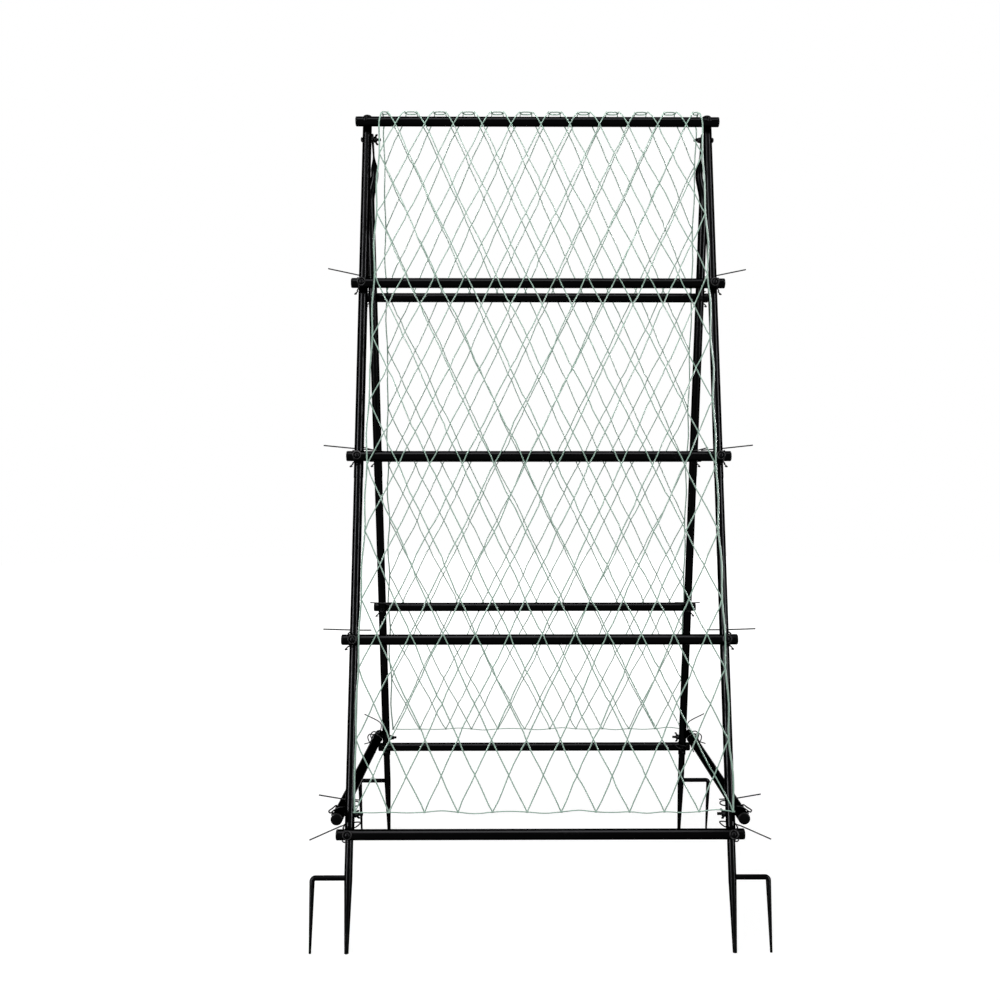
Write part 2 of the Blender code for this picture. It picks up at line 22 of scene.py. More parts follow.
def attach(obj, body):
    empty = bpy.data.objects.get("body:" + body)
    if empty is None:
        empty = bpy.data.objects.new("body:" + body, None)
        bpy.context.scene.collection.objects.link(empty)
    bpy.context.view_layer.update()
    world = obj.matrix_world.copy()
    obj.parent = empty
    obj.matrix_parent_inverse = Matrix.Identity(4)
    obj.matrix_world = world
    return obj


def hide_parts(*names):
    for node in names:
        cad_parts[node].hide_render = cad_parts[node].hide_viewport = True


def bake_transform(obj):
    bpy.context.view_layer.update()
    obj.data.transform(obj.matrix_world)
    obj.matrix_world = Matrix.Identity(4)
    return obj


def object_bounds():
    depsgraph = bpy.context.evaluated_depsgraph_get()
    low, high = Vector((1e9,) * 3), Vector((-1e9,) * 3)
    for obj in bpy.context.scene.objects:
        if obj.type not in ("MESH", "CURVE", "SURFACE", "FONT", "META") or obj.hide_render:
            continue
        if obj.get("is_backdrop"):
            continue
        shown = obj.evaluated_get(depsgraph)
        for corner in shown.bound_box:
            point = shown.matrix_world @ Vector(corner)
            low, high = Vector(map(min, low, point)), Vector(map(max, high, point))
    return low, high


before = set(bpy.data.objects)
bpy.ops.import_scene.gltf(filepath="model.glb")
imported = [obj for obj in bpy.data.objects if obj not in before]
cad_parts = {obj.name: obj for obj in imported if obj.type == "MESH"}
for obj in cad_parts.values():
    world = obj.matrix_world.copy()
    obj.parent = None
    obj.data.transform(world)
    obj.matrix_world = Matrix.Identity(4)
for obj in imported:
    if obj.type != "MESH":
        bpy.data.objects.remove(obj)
cad_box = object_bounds()

Colour = tuple[float, float, float]
Pair = tuple[float, float]
Point = tuple[float, float, float]
Profile = list[Pair]
Object = bpy.types.Object
Material = bpy.types.Material

log = logging.getLogger("trellis")
UNIT = (0.0, 1.0)
MIDDLE_BAND = (0.3, 0.7)


class Panel(Enum):
    """The two ladder panels of the trellis."""

    FRONT = "front"
    BACK = "back"

    @property
    def body(self) -> str:
        """Name of the CAD body that carries this panel."""
        return f"{self.value}_frame"

    @property
    def sign(self) -> int:
        """Which way along Y this panel leans out."""
        return -1 if self is Panel.FRONT else 1


class Side(Enum):
    """The two sides of the trellis, seen from the front."""

    LEFT = -1
    RIGHT = 1

    @property
    def label(self) -> str:
        """The side as it stands in names."""
        return self.name.lower()


class Slot(Enum):
    """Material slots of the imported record."""

    PAINT = "black_paint"
    STEEL = "fastener_steel"
    CORD = "net_cord"


def quarter(axis: str, turns: int = 1) -> Matrix:
    """The matrix of so many quarter turns about an axis."""
    return Matrix.Rotation(turns * math.pi / 2.0, 4, axis)


@dataclass(frozen=True)
class Plan:
    """Where things are. Drops are measured down an upright from the apex, and outs away from its axis."""

    lean: float = math.radians(12.0)
    apex_height: float = 1.2858
    half_span: float = 0.2825
    seat_gap: float = 0.0003
    bar_length: float = 0.600
    bar_radius: float = 0.0080
    ridge_bar_drop: float = 0.0141
    first_bar_drop: float = 0.2946
    bar_pitch: float = 0.2840
    bar_numbers: tuple[int, ...] = (2, 3, 4, 5)
    upper_radius: float = 0.0075
    lower_radius: float = 0.0071
    tube_joint_drop: float = 0.6100
    pivot_drop: float = 0.0380
    brace_height: float = 0.1910
    brace_length: float = 0.5170
    brace_radius: float = 0.0087
    ear_inset: float = 0.0093
    ear_half_thickness: float = 0.0013

    def axes(self, panel: Panel) -> Matrix:
        """Axes of a panel: local -Y points outwards and -Z down the uprights, from the apex.

        Args:
            panel: Which panel.

        Returns:
            The matrix from panel axes to the shared frame. The back panel's X runs the other way.
        """
        half_turn = Matrix.Rotation(0.0 if panel is Panel.FRONT else math.pi, 4, "Z")
        apex = Matrix.Translation((0.0, 0.0, self.apex_height))
        return apex @ half_turn @ Matrix.Rotation(-self.lean, 4, "X")

    def at(self, panel: Panel, x: float, out: float, drop: float) -> Matrix:
        """Axes of a panel, moved to a local X, an out and a drop."""
        return self.axes(panel) @ Matrix.Translation((x, -out, -drop))

    def local_x(self, panel: Panel, side: Side) -> float:
        """X of an upright in its own panel's axes."""
        return side.value * self.half_span * (1 if panel is Panel.FRONT else -1)

    def bar_drop(self, number: int) -> float:
        """Drop of a ladder bar under the ridge bar, numbered from 2."""
        return self.first_bar_drop + self.bar_pitch * (number - self.bar_numbers[0])

    def upright_radius(self, drop: float) -> float:
        """Radius of the upright at a drop."""
        return self.upper_radius if drop < self.tube_joint_drop else self.lower_radius

    def bar_out(self, drop: float) -> float:
        """How far a bar's axis is outside the upright's axis."""
        return self.upright_radius(drop) + self.seat_gap + self.bar_radius

    @property
    def brace_drop(self) -> float:
        """Drop of the brace bolts."""
        return (self.apex_height - self.brace_height) / math.cos(self.lean)

    @property
    def brace_x(self) -> float:
        """Distance of a brace's axis from the middle plane."""
        return self.half_span + self.lower_radius + self.seat_gap + self.brace_radius

    @property
    def brace_y(self) -> float:
        """Distance of a brace's bolts from the middle plane, front and back."""
        return math.sin(self.lean) * self.brace_drop

    def bars(self) -> Iterable[tuple[Panel, str, float]]:
        """Every crossbar.

        Returns:
            For each its panel, its node name and its drop.
        """
        yield Panel.FRONT, "ridge_bar", self.ridge_bar_drop
        for panel in Panel:
            for number in self.bar_numbers:
                yield panel, f"{panel.value}_crossbar_{number}", self.bar_drop(number)

    def corners(self) -> Iterable[tuple[Panel, str, int, Matrix]]:
        """Every upright.

        Returns:
            For each its panel, the start of its node names, the sign of its local X and its axes.
        """
        for panel in Panel:
            for side in Side:
                x = self.local_x(panel, side)
                corner = f"{panel.value}_{side.label}"
                yield panel, corner, int(math.copysign(1, x)), self.at(panel, x, 0.0, 0.0)


PLAN = Plan()


class Nodes:
    """Adds nodes to a node tree and joins them."""

    def __init__(self, tree: Any) -> None:
        """Takes the tree."""
        self.tree = tree

    def feed(self, target: Any, value: Any) -> None:
        """Joins an output to an input, or gives the input a constant.

        Args:
            target: The input.
            value: The output or the constant. A colour may leave its alpha out.
        """
        if isinstance(value, bpy.types.NodeSocket):
            self.tree.links.new(value, target)
        elif isinstance(value, tuple) and len(value) == 3:
            target.default_value = (*value, 1.0)
        else:
            target.default_value = value

    def add(self, kind: str, output: str | int | None = None, inputs: Any = None, **settings: Any) -> Any:
        """Adds a node.

        Args:
            kind: Blender's name of the node type, less the prefix they share.
            output: Which output to hand back.
            inputs: What feeds each input, by its name or number.
            **settings: Properties to set on the node.

        Returns:
            The output, or the whole node where none is named.
        """
        made = self.tree.nodes.new("ShaderNode" + kind)
        for key, value in settings.items():
            setattr(made, key, value)
        for key, value in (inputs or {}).items():
            self.feed(made.inputs[key], value)
        return made if output is None else made.outputs[output]

    def maths(self, operation: str, *values: Any) -> Any:
        """One step of arithmetic on constants or outputs."""
        return self.add("Math", "Value", dict(enumerate(values)), operation=operation)

    def spread(
        self, source: Any, band: tuple[Any, Any], ends: tuple[Any, Any] = UNIT, **settings: Any
    ) -> Any:
        """Maps a value from a band onto a range, and keeps it inside the range.

        Args:
            source: The value.
            band: Values that give the range's start and end.
            ends: The range's start and end.
            **settings: Properties to set on the node.

        Returns:
            The mapped output.
        """
        names = ("Value", "From Min", "From Max", "To Min", "To Max")
        return self.add("MapRange", "Result", dict(zip(names, (source, *band, *ends))), **settings)


class Recipe(Nodes):
    """A Principled material with the textures that the finishes are made of."""

    def __init__(self, name: str) -> None:
        """Starts a material.

        Args:
            name: Name of the material.
        """
        self.material: Material = bpy.data.materials.new(name)
        self.material.use_nodes = True
        super().__init__(self.material.node_tree)
        self.place = self.add("TexCoord", "Object")

    def shade(self, **values: Any) -> Material:
        """Feeds the shader's own sockets.

        Args:
            **values: What feeds each socket, by its name with underscores for spaces.

        Returns:
            The finished material.
        """
        shader = self.tree.nodes["Principled BSDF"]
        for key, value in values.items():
            self.feed(shader.inputs[key.replace("_", " ")], value)
        return self.material

    def noise(self, scale: float, detail: float = 2.0, distortion: float = 0.0) -> Any:
        """Noise on the object's own coordinates, by its cells in a metre, its finer layers and its twist."""
        inputs = {"Vector": self.place, "Scale": scale, "Detail": detail, "Distortion": distortion}
        return self.add("TexNoise", "Fac", inputs)

    def blend(self, share: Any, first: Any, second: Any) -> Any:
        """A mix of two colours, by the share of the second."""
        return self.add("Mix", 2, {"Factor": share, 6: first, 7: second}, data_type="RGBA")

    def relief(self, height: Any, strength: float, depth: float, under: Any = None) -> Any:
        """Adds a bump.

        Args:
            height: Output that gives the height.
            strength: Share of the bump that shows.
            depth: Its depth in metres.
            under: A bump that this one lies on.

        Returns:
            The bump's normal.
        """
        inputs = {"Strength": strength, "Distance": depth, "Height": height}
        if under is not None:
            inputs["Normal"] = under
        return self.add("Bump", "Normal", inputs)


@dataclass(frozen=True)
class GlossPaint:
    """Baked gloss paint: jet black at every angle, with faint orange peel, fine rubs and patches of shine.

    The black is a mirror finish of very low strength with a dark edge tint, so a white room does not turn
    the tubes grey where they are seen along their length.
    """

    colour: Colour = (0.0019, 0.0019, 0.0020)
    rub_colour: Colour = (0.0052, 0.0052, 0.0054)
    edge_tint: Colour = (0.0, 0.0, 0.0)
    shine: Pair = (0.15, 0.22)
    rub_roughness: float = 0.4
    rub_scale: float = 85.0
    rub_twist: float = 2.2
    rub_line: Pair = (0.487, 0.5)
    rub_patch: Pair = (0.52, 0.68)
    rub_relief: Pair = (0.12, -0.00003)
    peel_scale: float = 620.0
    peel_relief: Pair = (0.10, 0.00012)
    patch_scale: float = 9.0

    def make(self) -> Material:
        """Builds the material.

        Returns:
            The material.
        """
        r = Recipe("gloss_black_paint")
        patch = r.noise(self.patch_scale, 3.0)
        line = r.maths("PINGPONG", r.noise(self.rub_scale, 4.0, self.rub_twist), 0.5)
        rub = r.maths("MULTIPLY", r.spread(line, self.rub_line), r.spread(patch, self.rub_patch))
        shine = r.spread(patch, MIDDLE_BAND, self.shine)
        peel = r.relief(r.noise(self.peel_scale, 1.0), *self.peel_relief)
        return r.shade(
            Metallic=1.0,
            Specular_Tint=self.edge_tint,
            Base_Color=r.blend(rub, self.colour, self.rub_colour),
            Roughness=r.spread(rub, UNIT, (shine, self.rub_roughness)),
            Normal=r.relief(rub, *self.rub_relief, peel),
        )


@dataclass(frozen=True)
class DullBlack:
    """A dull black with a fine grain, and paler in worn patches."""

    name: str
    colour: Colour
    worn_colour: Colour
    worn: Pair
    roughness: Pair
    grain_scale: float
    grain_relief: Pair
    patch_scale: float
    constants: tuple[tuple[str, Any], ...]

    def make(self) -> Material:
        """Builds the material.

        Returns:
            The material.
        """
        r = Recipe(self.name)
        patch = r.noise(self.patch_scale, 4.0)
        return r.shade(
            Base_Color=r.blend(r.spread(patch, self.worn), self.colour, self.worn_colour),
            Roughness=r.spread(patch, MIDDLE_BAND, self.roughness),
            Normal=r.relief(r.noise(self.grain_scale), *self.grain_relief),
            **dict(self.constants),
        )


PLUG_PLASTIC = DullBlack(
    name="black_plug_plastic",
    colour=(0.0010, 0.0010, 0.0011),
    worn_colour=(0.0030, 0.0030, 0.0031),
    worn=(0.5, 0.75),
    roughness=(0.34, 0.46),
    grain_scale=1500.0,
    grain_relief=(0.25, 0.00005),
    patch_scale=60.0,
    constants=(("Specular_IOR_Level", 0.012),),
)
TIE_WIRE = DullBlack(
    name="dark_tie_wire",
    colour=(0.0036, 0.0036, 0.0037),
    worn_colour=(0.0110, 0.0110, 0.0113),
    worn=(0.48, 0.66),
    roughness=(0.42, 0.62),
    grain_scale=1300.0,
    grain_relief=(0.3, 0.00005),
    patch_scale=120.0,
    constants=(("Metallic", 1.0), ("Specular_Tint", (0.05, 0.05, 0.05))),
)


@dataclass(frozen=True)
class DarkSteel:
    """Black-plated steel: mottled plating, with bare metal showing in small rubbed spots."""

    colour: Colour = (0.0017, 0.0017, 0.0018)
    bare_colour: Colour = (0.0130, 0.0128, 0.0125)
    edge_tint: Colour = (0.02, 0.02, 0.02)
    roughness: Pair = (0.32, 0.48)
    mottle_scale: float = 260.0
    mottle_relief: Pair = (0.25, 0.00006)
    spot_scale: float = 900.0
    spots: Pair = (0.66, 0.78)
    spot_relief: Pair = (0.2, -0.00003)

    def make(self) -> Material:
        """Builds the material.

        Returns:
            The material.
        """
        r = Recipe("dark_plated_steel")
        mottle = r.noise(self.mottle_scale, 4.0)
        spot = r.spread(r.noise(self.spot_scale, 3.0), self.spots)
        return r.shade(
            Metallic=1.0,
            Specular_Tint=self.edge_tint,
            Base_Color=r.blend(spot, self.colour, self.bare_colour),
            Roughness=r.spread(mottle, MIDDLE_BAND, self.roughness),
            Normal=r.relief(spot, *self.spot_relief, r.relief(mottle, *self.mottle_relief)),
        )


@dataclass(frozen=True)
class NetTwine:
    """Mint polythene twine: fine strands that wind round the cord, painted shade in the grooves between
    strands, sun-paled patches and a waxy shine.
    """

    colour: Colour = (0.280, 0.455, 0.360)
    pale_colour: Colour = (0.380, 0.550, 0.460)
    # Painted shade: the colour on the next line darkens the grooves between strands, over the groove band set
    # further down.
    groove_colour: Colour = (0.130, 0.270, 0.195)
    roughness: Pair = (0.45, 0.62)
    specular: float = 0.15
    pale_patch: Pair = (0.35, 0.7)
    groove: Pair = (-1.0, -0.35)
    strand_relief: Pair = (0.5, 0.00012)
    patch_scale: float = 22.0

    def make(self) -> Material:
        """Builds the material. Its strands follow the winding that is stored on the cords.

        Returns:
            The material.
        """
        r = Recipe("mint_net_twine")
        winding = r.add("Attribute", "Fac", attribute_name="winding")
        wave = r.maths("SINE", r.maths("MULTIPLY", winding, math.tau))
        patch = r.noise(self.patch_scale, 3.0)
        paled = r.blend(r.spread(patch, self.pale_patch), self.colour, self.pale_colour)
        return r.shade(
            Specular_IOR_Level=self.specular,
            # Painted shade: the base colour turns to the dark groove colour where the strand wave is low, in
            # the grooves between strands.
            Base_Color=r.blend(r.spread(wave, self.groove, (1.0, 0.0)), paled, self.groove_colour),
            Roughness=r.spread(patch, MIDDLE_BAND, self.roughness),
            Normal=r.relief(wave, *self.strand_relief),
        )


@dataclass
class Palette:
    """One material of each finish, made once and shared."""

    paint: Material = field(default_factory=GlossPaint().make)
    plug: Material = field(default_factory=PLUG_PLASTIC.make)
    steel: Material = field(default_factory=DarkSteel().make)
    twine: Material = field(default_factory=NetTwine().make)
    wire: Material = field(default_factory=TIE_WIRE.make)


class Bench:
    """Modelling steps with Blender's own tools, shared by all groups."""

    @staticmethod
    def clear() -> None:
        """Leaves edit mode and deselects everything, the CAD nodes too."""
        if bpy.context.mode != "OBJECT":
            bpy.ops.object.mode_set(mode="OBJECT")
        bpy.ops.object.select_all(action="DESELECT")

    @staticmethod
    def pick(obj: Object) -> None:
        """Makes one object the only one selected, and the active one.

        Args:
            obj: The object.
        """
        Bench.clear()
        obj.select_set(True)
        bpy.context.view_layer.objects.active = obj

    @staticmethod
    def edit(obj: Object, everything: bool = True) -> None:
        """Enters edit mode with faces as what is selected.

        Args:
            obj: The object.
            everything: Whether all of it starts selected.
        """
        Bench.pick(obj)
        bpy.ops.object.mode_set(mode="EDIT")
        bpy.ops.mesh.select_mode(type="FACE")
        bpy.ops.mesh.select_all(action="SELECT" if everything else "DESELECT")

    @staticmethod
    def choose(obj: Object, kind: str, test: Callable[[Any], bool]) -> None:
        """Enters edit mode with only some corners or faces selected.

        Args:
            obj: The object.
            kind: VERT or FACE.
            test: Says whether a corner or face is selected.
        """
        Bench.edit(obj, everything=False)
        bpy.ops.mesh.select_mode(type=kind)
        mesh = bmesh.from_edit_mesh(obj.data)
        for part in mesh.verts if kind == "VERT" else mesh.faces:
            part.select = test(part)
        mesh.select_flush_mode()
        bmesh.update_edit_mesh(obj.data)

    @staticmethod
    def settle(obj: Object) -> Object:
        """Applies the object's place, turn and size to its mesh.

        Args:
            obj: The object.

        Returns:
            The object, at the origin.
        """
        Bench.pick(obj)
        bpy.ops.object.transform_apply(location=True, rotation=True, scale=True)
        return obj

    @staticmethod
    def disc(sides: int, radius: float, height: float) -> Object:
        """A round face on the Z axis, in edit mode and selected, from which a solid is drawn out.

        Args:
            sides: Corners of the face.
            radius: Its radius.
            height: Its height.

        Returns:
            The object.
        """
        Bench.clear()
        bpy.ops.mesh.primitive_circle_add(
            vertices=sides, radius=radius, fill_type="NGON", location=(0.0, 0.0, height)
        )
        obj = Bench.settle(bpy.context.object)
        Bench.edit(obj)
        return obj

    @staticmethod
    def block(middle: Point, size: Point, turn: float = 0.0) -> Object:
        """A box to be drawn out further.

        Args:
            middle: Its middle.
            size: Its size along X, Y and Z.
            turn: Its turn about Z.

        Returns:
            The object.
        """
        Bench.clear()
        bpy.ops.mesh.primitive_cube_add(size=1.0, location=middle)
        obj = bpy.context.object
        obj.scale = size
        obj.rotation_euler = (0.0, 0.0, turn)
        return Bench.settle(obj)

    @staticmethod
    def draw_to(step: Point | Vector, centre: Point | Vector, scale: Point = (1.0, 1.0, 1.0)) -> None:
        """Extrudes the selected face and then scales its far end.

        Args:
            step: How far to go.
            centre: Middle of the far end.
            scale: Scale of the far end along X, Y and Z.
        """
        bpy.ops.mesh.extrude_region_move(TRANSFORM_OT_translate={"value": tuple(step)})
        if any(abs(part - 1.0) > 1e-9 for part in scale):
            bpy.ops.transform.resize(value=tuple(scale), center_override=tuple(centre))

    @staticmethod
    def close(obj: Object) -> Object:
        """Merges doubled points, turns all faces outwards and leaves edit mode.

        Args:
            obj: The object in edit mode.

        Returns:
            The object.
        """
        bpy.ops.mesh.select_all(action="SELECT")
        bpy.ops.mesh.remove_doubles(threshold=1e-6)
        bpy.ops.mesh.normals_make_consistent(inside=False)
        bpy.ops.object.mode_set(mode="OBJECT")
        return obj

    @staticmethod
    def turned(name: str, sides: int, profile: Profile) -> Object:
        """A round solid drawn out of a disc, one ring for each point of its profile.

        Args:
            name: Name of the object.
            sides: Facets round it.
            profile: Points as radius and height, from the bottom up.

        Returns:
            The solid, on the Z axis.
        """
        radius, height = profile[0]
        obj = Bench.disc(sides, radius, height)
        obj.name = name
        for next_radius, next_height in profile[1:]:
            share = next_radius / radius
            step = (0.0, 0.0, next_height - height)
            Bench.draw_to(step, (0.0, 0.0, next_height), (share, share, 1.0))
            radius, height = next_radius, next_height
        return Bench.close(obj)

    @staticmethod
    def smooth(obj: Object, degrees: float = 35.0) -> Object:
        """Shades the object smooth where its faces meet at less than an angle.

        Args:
            obj: The object.
            degrees: The angle.

        Returns:
            The object.
        """
        Bench.pick(obj)
        bpy.ops.object.shade_smooth_by_angle(angle=math.radians(degrees))
        return obj

    @staticmethod
    def boolean(obj: Object, tool: Object, operation: str) -> Object:
        """Joins another solid to this one or cuts it with it, and removes the tool.

        Args:
            obj: The solid that stays.
            tool: The other solid.
            operation: UNION, DIFFERENCE or INTERSECT.

        Returns:
            The solid that stays.
        """
        Bench.pick(obj)
        bpy.ops.object.modifier_add(type="BOOLEAN")
        modifier = obj.modifiers[-1]
        modifier.operation = operation
        modifier.solver = "EXACT"
        modifier.object = tool
        bpy.ops.object.modifier_apply(modifier=modifier.name)
        Bench.discard(tool)
        return obj

    @staticmethod
    def copy(source: Object, name: str, place: Matrix) -> Object:
        """A copy with its own mesh, and its place in that mesh.

        Args:
            source: The finished shape in its own axes.
            name: Name of the copy.
            place: Matrix from those axes to the shared frame.

        Returns:
            The copy, whose object sits at the origin.
        """
        Bench.pick(source)
        bpy.ops.object.duplicate(linked=False)
        made = bpy.context.object
        made.name = name
        made.data.name = name
        made.matrix_world = place
        return Bench.settle(made)

    @staticmethod
    def paint(obj: Object, *materials: Material) -> Object:
        """Gives the object its materials in order of slot.

        Args:
            obj: The object.
            *materials: The materials.

        Returns:
            The object.
        """
        obj.data.materials.clear()
        for material in materials:
            obj.data.materials.append(material)
        return obj

    @staticmethod
    def discard(*objects: Object) -> None:
        """Removes shapes that were only copied from or cut with."""
        for obj in objects:
            bpy.data.objects.remove(obj)

    @staticmethod
    def issue(obj: Object, body: str, slot: Slot, *stands_for: str) -> None:
        """Hands a finished piece to the frame.

        Args:
            obj: The piece.
            body: CAD body that it moves with.
            slot: Record slot for its finish, not used.
            *stands_for: CAD nodes that it replaces.
        """
        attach(obj, body)
        if stands_for:
            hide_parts(*stands_for)
        log.info("%s rides on %s", obj.name, body)

    @staticmethod
    def put(source: Object, name: str, place: Matrix, body: str, slot: Slot, *stands_for: str) -> None:
        """Puts a copy of a shape at its place and hands it to the frame, like copy and issue."""
        Bench.issue(Bench.copy(source, name, place), body, slot, *stands_for)


def rim(radius: float, height: float, rounding: float, up: float, steps: int = 4) -> Profile:
    """Profile points round an end's rim, from its face to its side.

    Args:
        radius: Radius of the side.
        height: Height of the end face.
        rounding: Radius of the rounded rim.
        up: 1 where the face looks up, -1 where it looks down.
        steps: Facets round the rim.

    Returns:
        Points as radius and height.
    """
    points = []
    for step in range(steps + 1):
        turn = math.pi / 2.0 * step / steps
        inward = rounding * (1.0 - math.sin(turn))
        points.append((radius - inward, height - up * rounding * (1.0 - math.cos(turn))))
    return points


@dataclass
class EndPlug:
    """A moulded plug pressed into a tube's end: a domed face, a rounded rim and a seam to the tube."""

    flange: float = 0.0032
    rounding: float = 0.0016
    dome: float = 0.00035
    seam_width: float = 0.0003
    seam_depth: float = 0.00030

    def profile(self, radius: float, height: float, up: float) -> Profile:
        """Profile from the middle of the end face past the seam to the tube.

        Args:
            radius: Radius of the tube.
            height: Height of the outermost point.
            up: 1 where the end looks up, -1 where it looks down.

        Returns:
            Points as radius and height.
        """
        face = radius - self.rounding
        points = [(face * 0.25, height), (face * 0.6, height - up * self.dome * 0.4)]
        points += rim(radius, height - up * self.dome, self.rounding, up)
        flange = height - up * self.flange
        for depth, share in ((0.0, 0.0), (self.seam_depth, 0.4), (self.seam_depth, 1.0), (0.0, 1.6)):
            points.append((radius - depth, flange - up * self.seam_width * share))
        return points

    def dress(self, obj: Object, height: float, up: float) -> None:
        """Gives the plug's faces the second material slot.

        Args:
            obj: The tube, in its own axes.
            height: Height of the outermost point.
            up: 1 where the end looks up, -1 where it looks down.
        """
        limit = up * height - self.flange - self.seam_width * 0.5
        for face in obj.data.polygons:
            if up * face.center.z > limit:
                face.material_index = 1


@dataclass
class Tubes:
    """Crossbars, braces and uprights, each drawn out of a disc."""

    palette: Palette
    plan: Plan = PLAN
    plug: EndPlug = field(default_factory=EndPlug)
    sides: int = 48
    joint_lip: float = 0.0003
    top_rise: float = 0.0040
    lower_end_drop: float = 1.1550
    foot_socket_radius: float = 0.0062
    crank_start: float = 0.1340
    crank_end_share: float = 0.95
    crank_steps: int = 10
    bend_drop: float = 0.0850
    press_steps: int = 8
    pressed_by: float = 0.0012
    ear_half_width: float = 0.0095
    ear_flat_length: float = 0.0240
    ear_tip_degrees: tuple[float, ...] = (15.0, 30.0, 45.0, 58.0, 70.0, 80.0)
    ear_widening: float = 1.9

    def capped_tube(self, name: str, radius: float, length: float) -> Object:
        """A straight tube with a plug in each end.

        Args:
            name: Name of the shape.
            radius: Its radius.
            length: Its length, plugs included.

        Returns:
            The tube on the Z axis, centred.
        """
        half = length / 2.0
        low, high = (self.plug.profile(radius, up * half, up) for up in (-1.0, 1.0))
        obj = Bench.turned(name, self.sides, [*low, *reversed(high)])
        Bench.paint(obj, self.palette.paint, self.palette.plug)
        for up in (-1.0, 1.0):
            self.plug.dress(obj, up * half, up)
        return Bench.smooth(obj)

    def crossbars(self) -> None:
        """The ridge bar and the four bars of each panel."""
        shape = self.capped_tube("crossbar_shape", self.plan.bar_radius, self.plan.bar_length)
        for panel, name, drop in self.plan.bars():
            place = self.plan.at(panel, 0.0, self.plan.bar_out(drop), drop) @ quarter("Y")
            Bench.put(shape, name + "_tube", place, panel.body, Slot.PAINT, name)
        Bench.discard(shape)

    def braces(self) -> None:
        """The two side braces."""
        plan = self.plan
        shape = self.capped_tube("brace_shape", plan.brace_radius, plan.brace_length)
        for side in Side:
            name = side.label + "_brace"
            seat = Matrix.Translation((side.value * plan.brace_x, 0.0, plan.brace_height))
            Bench.put(shape, name + "_tube", seat @ quarter("X"), name, Slot.PAINT, name)
        Bench.discard(shape)

    def lower_lip(self, radius: float, height: float) -> Profile:
        """Profile of a tube's cut lower end with its burr taken off.

        Args:
            radius: Radius of the tube.
            height: Height of the cut.

        Returns:
            Points as radius and height. The last two hold the shading of the long side straight.
        """
        lip, socket = self.joint_lip, self.foot_socket_radius
        points = [(socket * 0.9, height + lip), (socket, height)]
        for inward, rise in ((1.0, 0.0), (0.3, 0.3), (0.0, 1.0), (0.0, 3.0)):
            points.append((radius - lip * inward, height + lip * rise))
        return points

    def front_upper(self) -> Object:
        """A straight upper tube with a plug on top.

        Returns:
            The tube, with its axis on Z.
        """
        radius, foot = self.plan.upper_radius, -self.plan.tube_joint_drop
        top = self.plug.profile(radius, self.top_rise, 1.0)
        obj = Bench.turned("front_upper_shape", self.sides, [*self.lower_lip(radius, foot), *reversed(top)])
        Bench.paint(obj, self.palette.paint, self.palette.plug)
        self.plug.dress(obj, self.top_rise, 1.0)
        return Bench.smooth(obj)

    def lower(self) -> Object:
        """A lower tube from the joint down to the foot.

        Returns:
            The tube, with its axis on Z.
        """
        radius = self.plan.lower_radius
        shoulder = -self.plan.tube_joint_drop - self.plan.seat_gap
        profile = self.lower_lip(radius, -self.lower_end_drop)
        profile += [(radius, shoulder - self.joint_lip), (radius - self.joint_lip, shoulder)]
        obj = Bench.turned("lower_shape", self.sides, [*profile, (self.foot_socket_radius, shoulder)])
        return Bench.smooth(Bench.paint(obj, self.palette.paint))

    def ear_stations(self, inwards: int) -> list[tuple[Vector, float, float]]:
        """Sections of the cranked top of a back upright.

        Args:
            inwards: Which way along local X the tube is cranked.

        Returns:
            For each section its middle, its half width along Y and its half thickness along X.
        """
        plan, radius = self.plan, self.plan.upper_radius
        pivot_y = plan.pivot_drop * math.sin(2.0 * plan.lean)
        pivot_z = -plan.pivot_drop * math.cos(2.0 * plan.lean)
        inset = inwards * plan.ear_inset
        thin = radius - self.pressed_by
        stations = []
        for step in range(self.crank_steps + 1):
            share = step / self.crank_steps
            ease = share * share * (3.0 - 2.0 * share)
            drop = self.crank_start + (self.bend_drop - self.crank_start) * share * self.crank_end_share
            middle = Vector((inset * ease, 0.0, -drop))
            stations.append((middle, radius, radius + (thin - radius) * ease))
        rise = pivot_z + self.bend_drop
        flat_from = 1.0 - self.ear_flat_length / rise
        for step in range(1, self.press_steps + 1):
            share = flat_from * step / self.press_steps
            ease = (step / self.press_steps) ** 2 * (3.0 - 2.0 * step / self.press_steps)
            middle = Vector((inset, pivot_y * share, -self.bend_drop + rise * share))
            wide = radius + (self.ear_half_width - radius) * ease
            stations.append((middle, wide, thin + (plan.ear_half_thickness - thin) * ease))
        for degrees in (0.0, *self.ear_tip_degrees):
            turn = math.radians(degrees)
            middle = Vector((inset, pivot_y, pivot_z + self.ear_half_width * math.sin(turn)))
            stations.append((middle, self.ear_half_width * math.cos(turn), plan.ear_half_thickness))
        return stations

    def back_upper(self, inwards: int) -> Object:
        """An upper tube that is cranked inwards, bent forwards and pressed into a flat ear.

        Args:
            inwards: Which way along local X the tube is cranked.

        Returns:
            The tube in panel axes, with its lower axis on Z.
        """
        foot = self.lower_lip(self.plan.upper_radius, -self.plan.tube_joint_drop)
        obj = Bench.disc(self.sides, *foot[0])
        obj.name = "back_upper_shape"
        sections = [(Vector((0.0, 0.0, height)), size, size) for size, height in foot]
        sections += self.ear_stations(inwards)
        for (centre, wide, thick), (middle, next_wide, next_thick) in zip(sections, sections[1:]):
            Bench.draw_to(middle - centre, middle, (next_thick / thick, next_wide / wide, 1.0))
        Bench.close(obj)
        self.square_ear(obj, inwards)
        return Bench.smooth(Bench.paint(obj, self.palette.paint), 40.0)

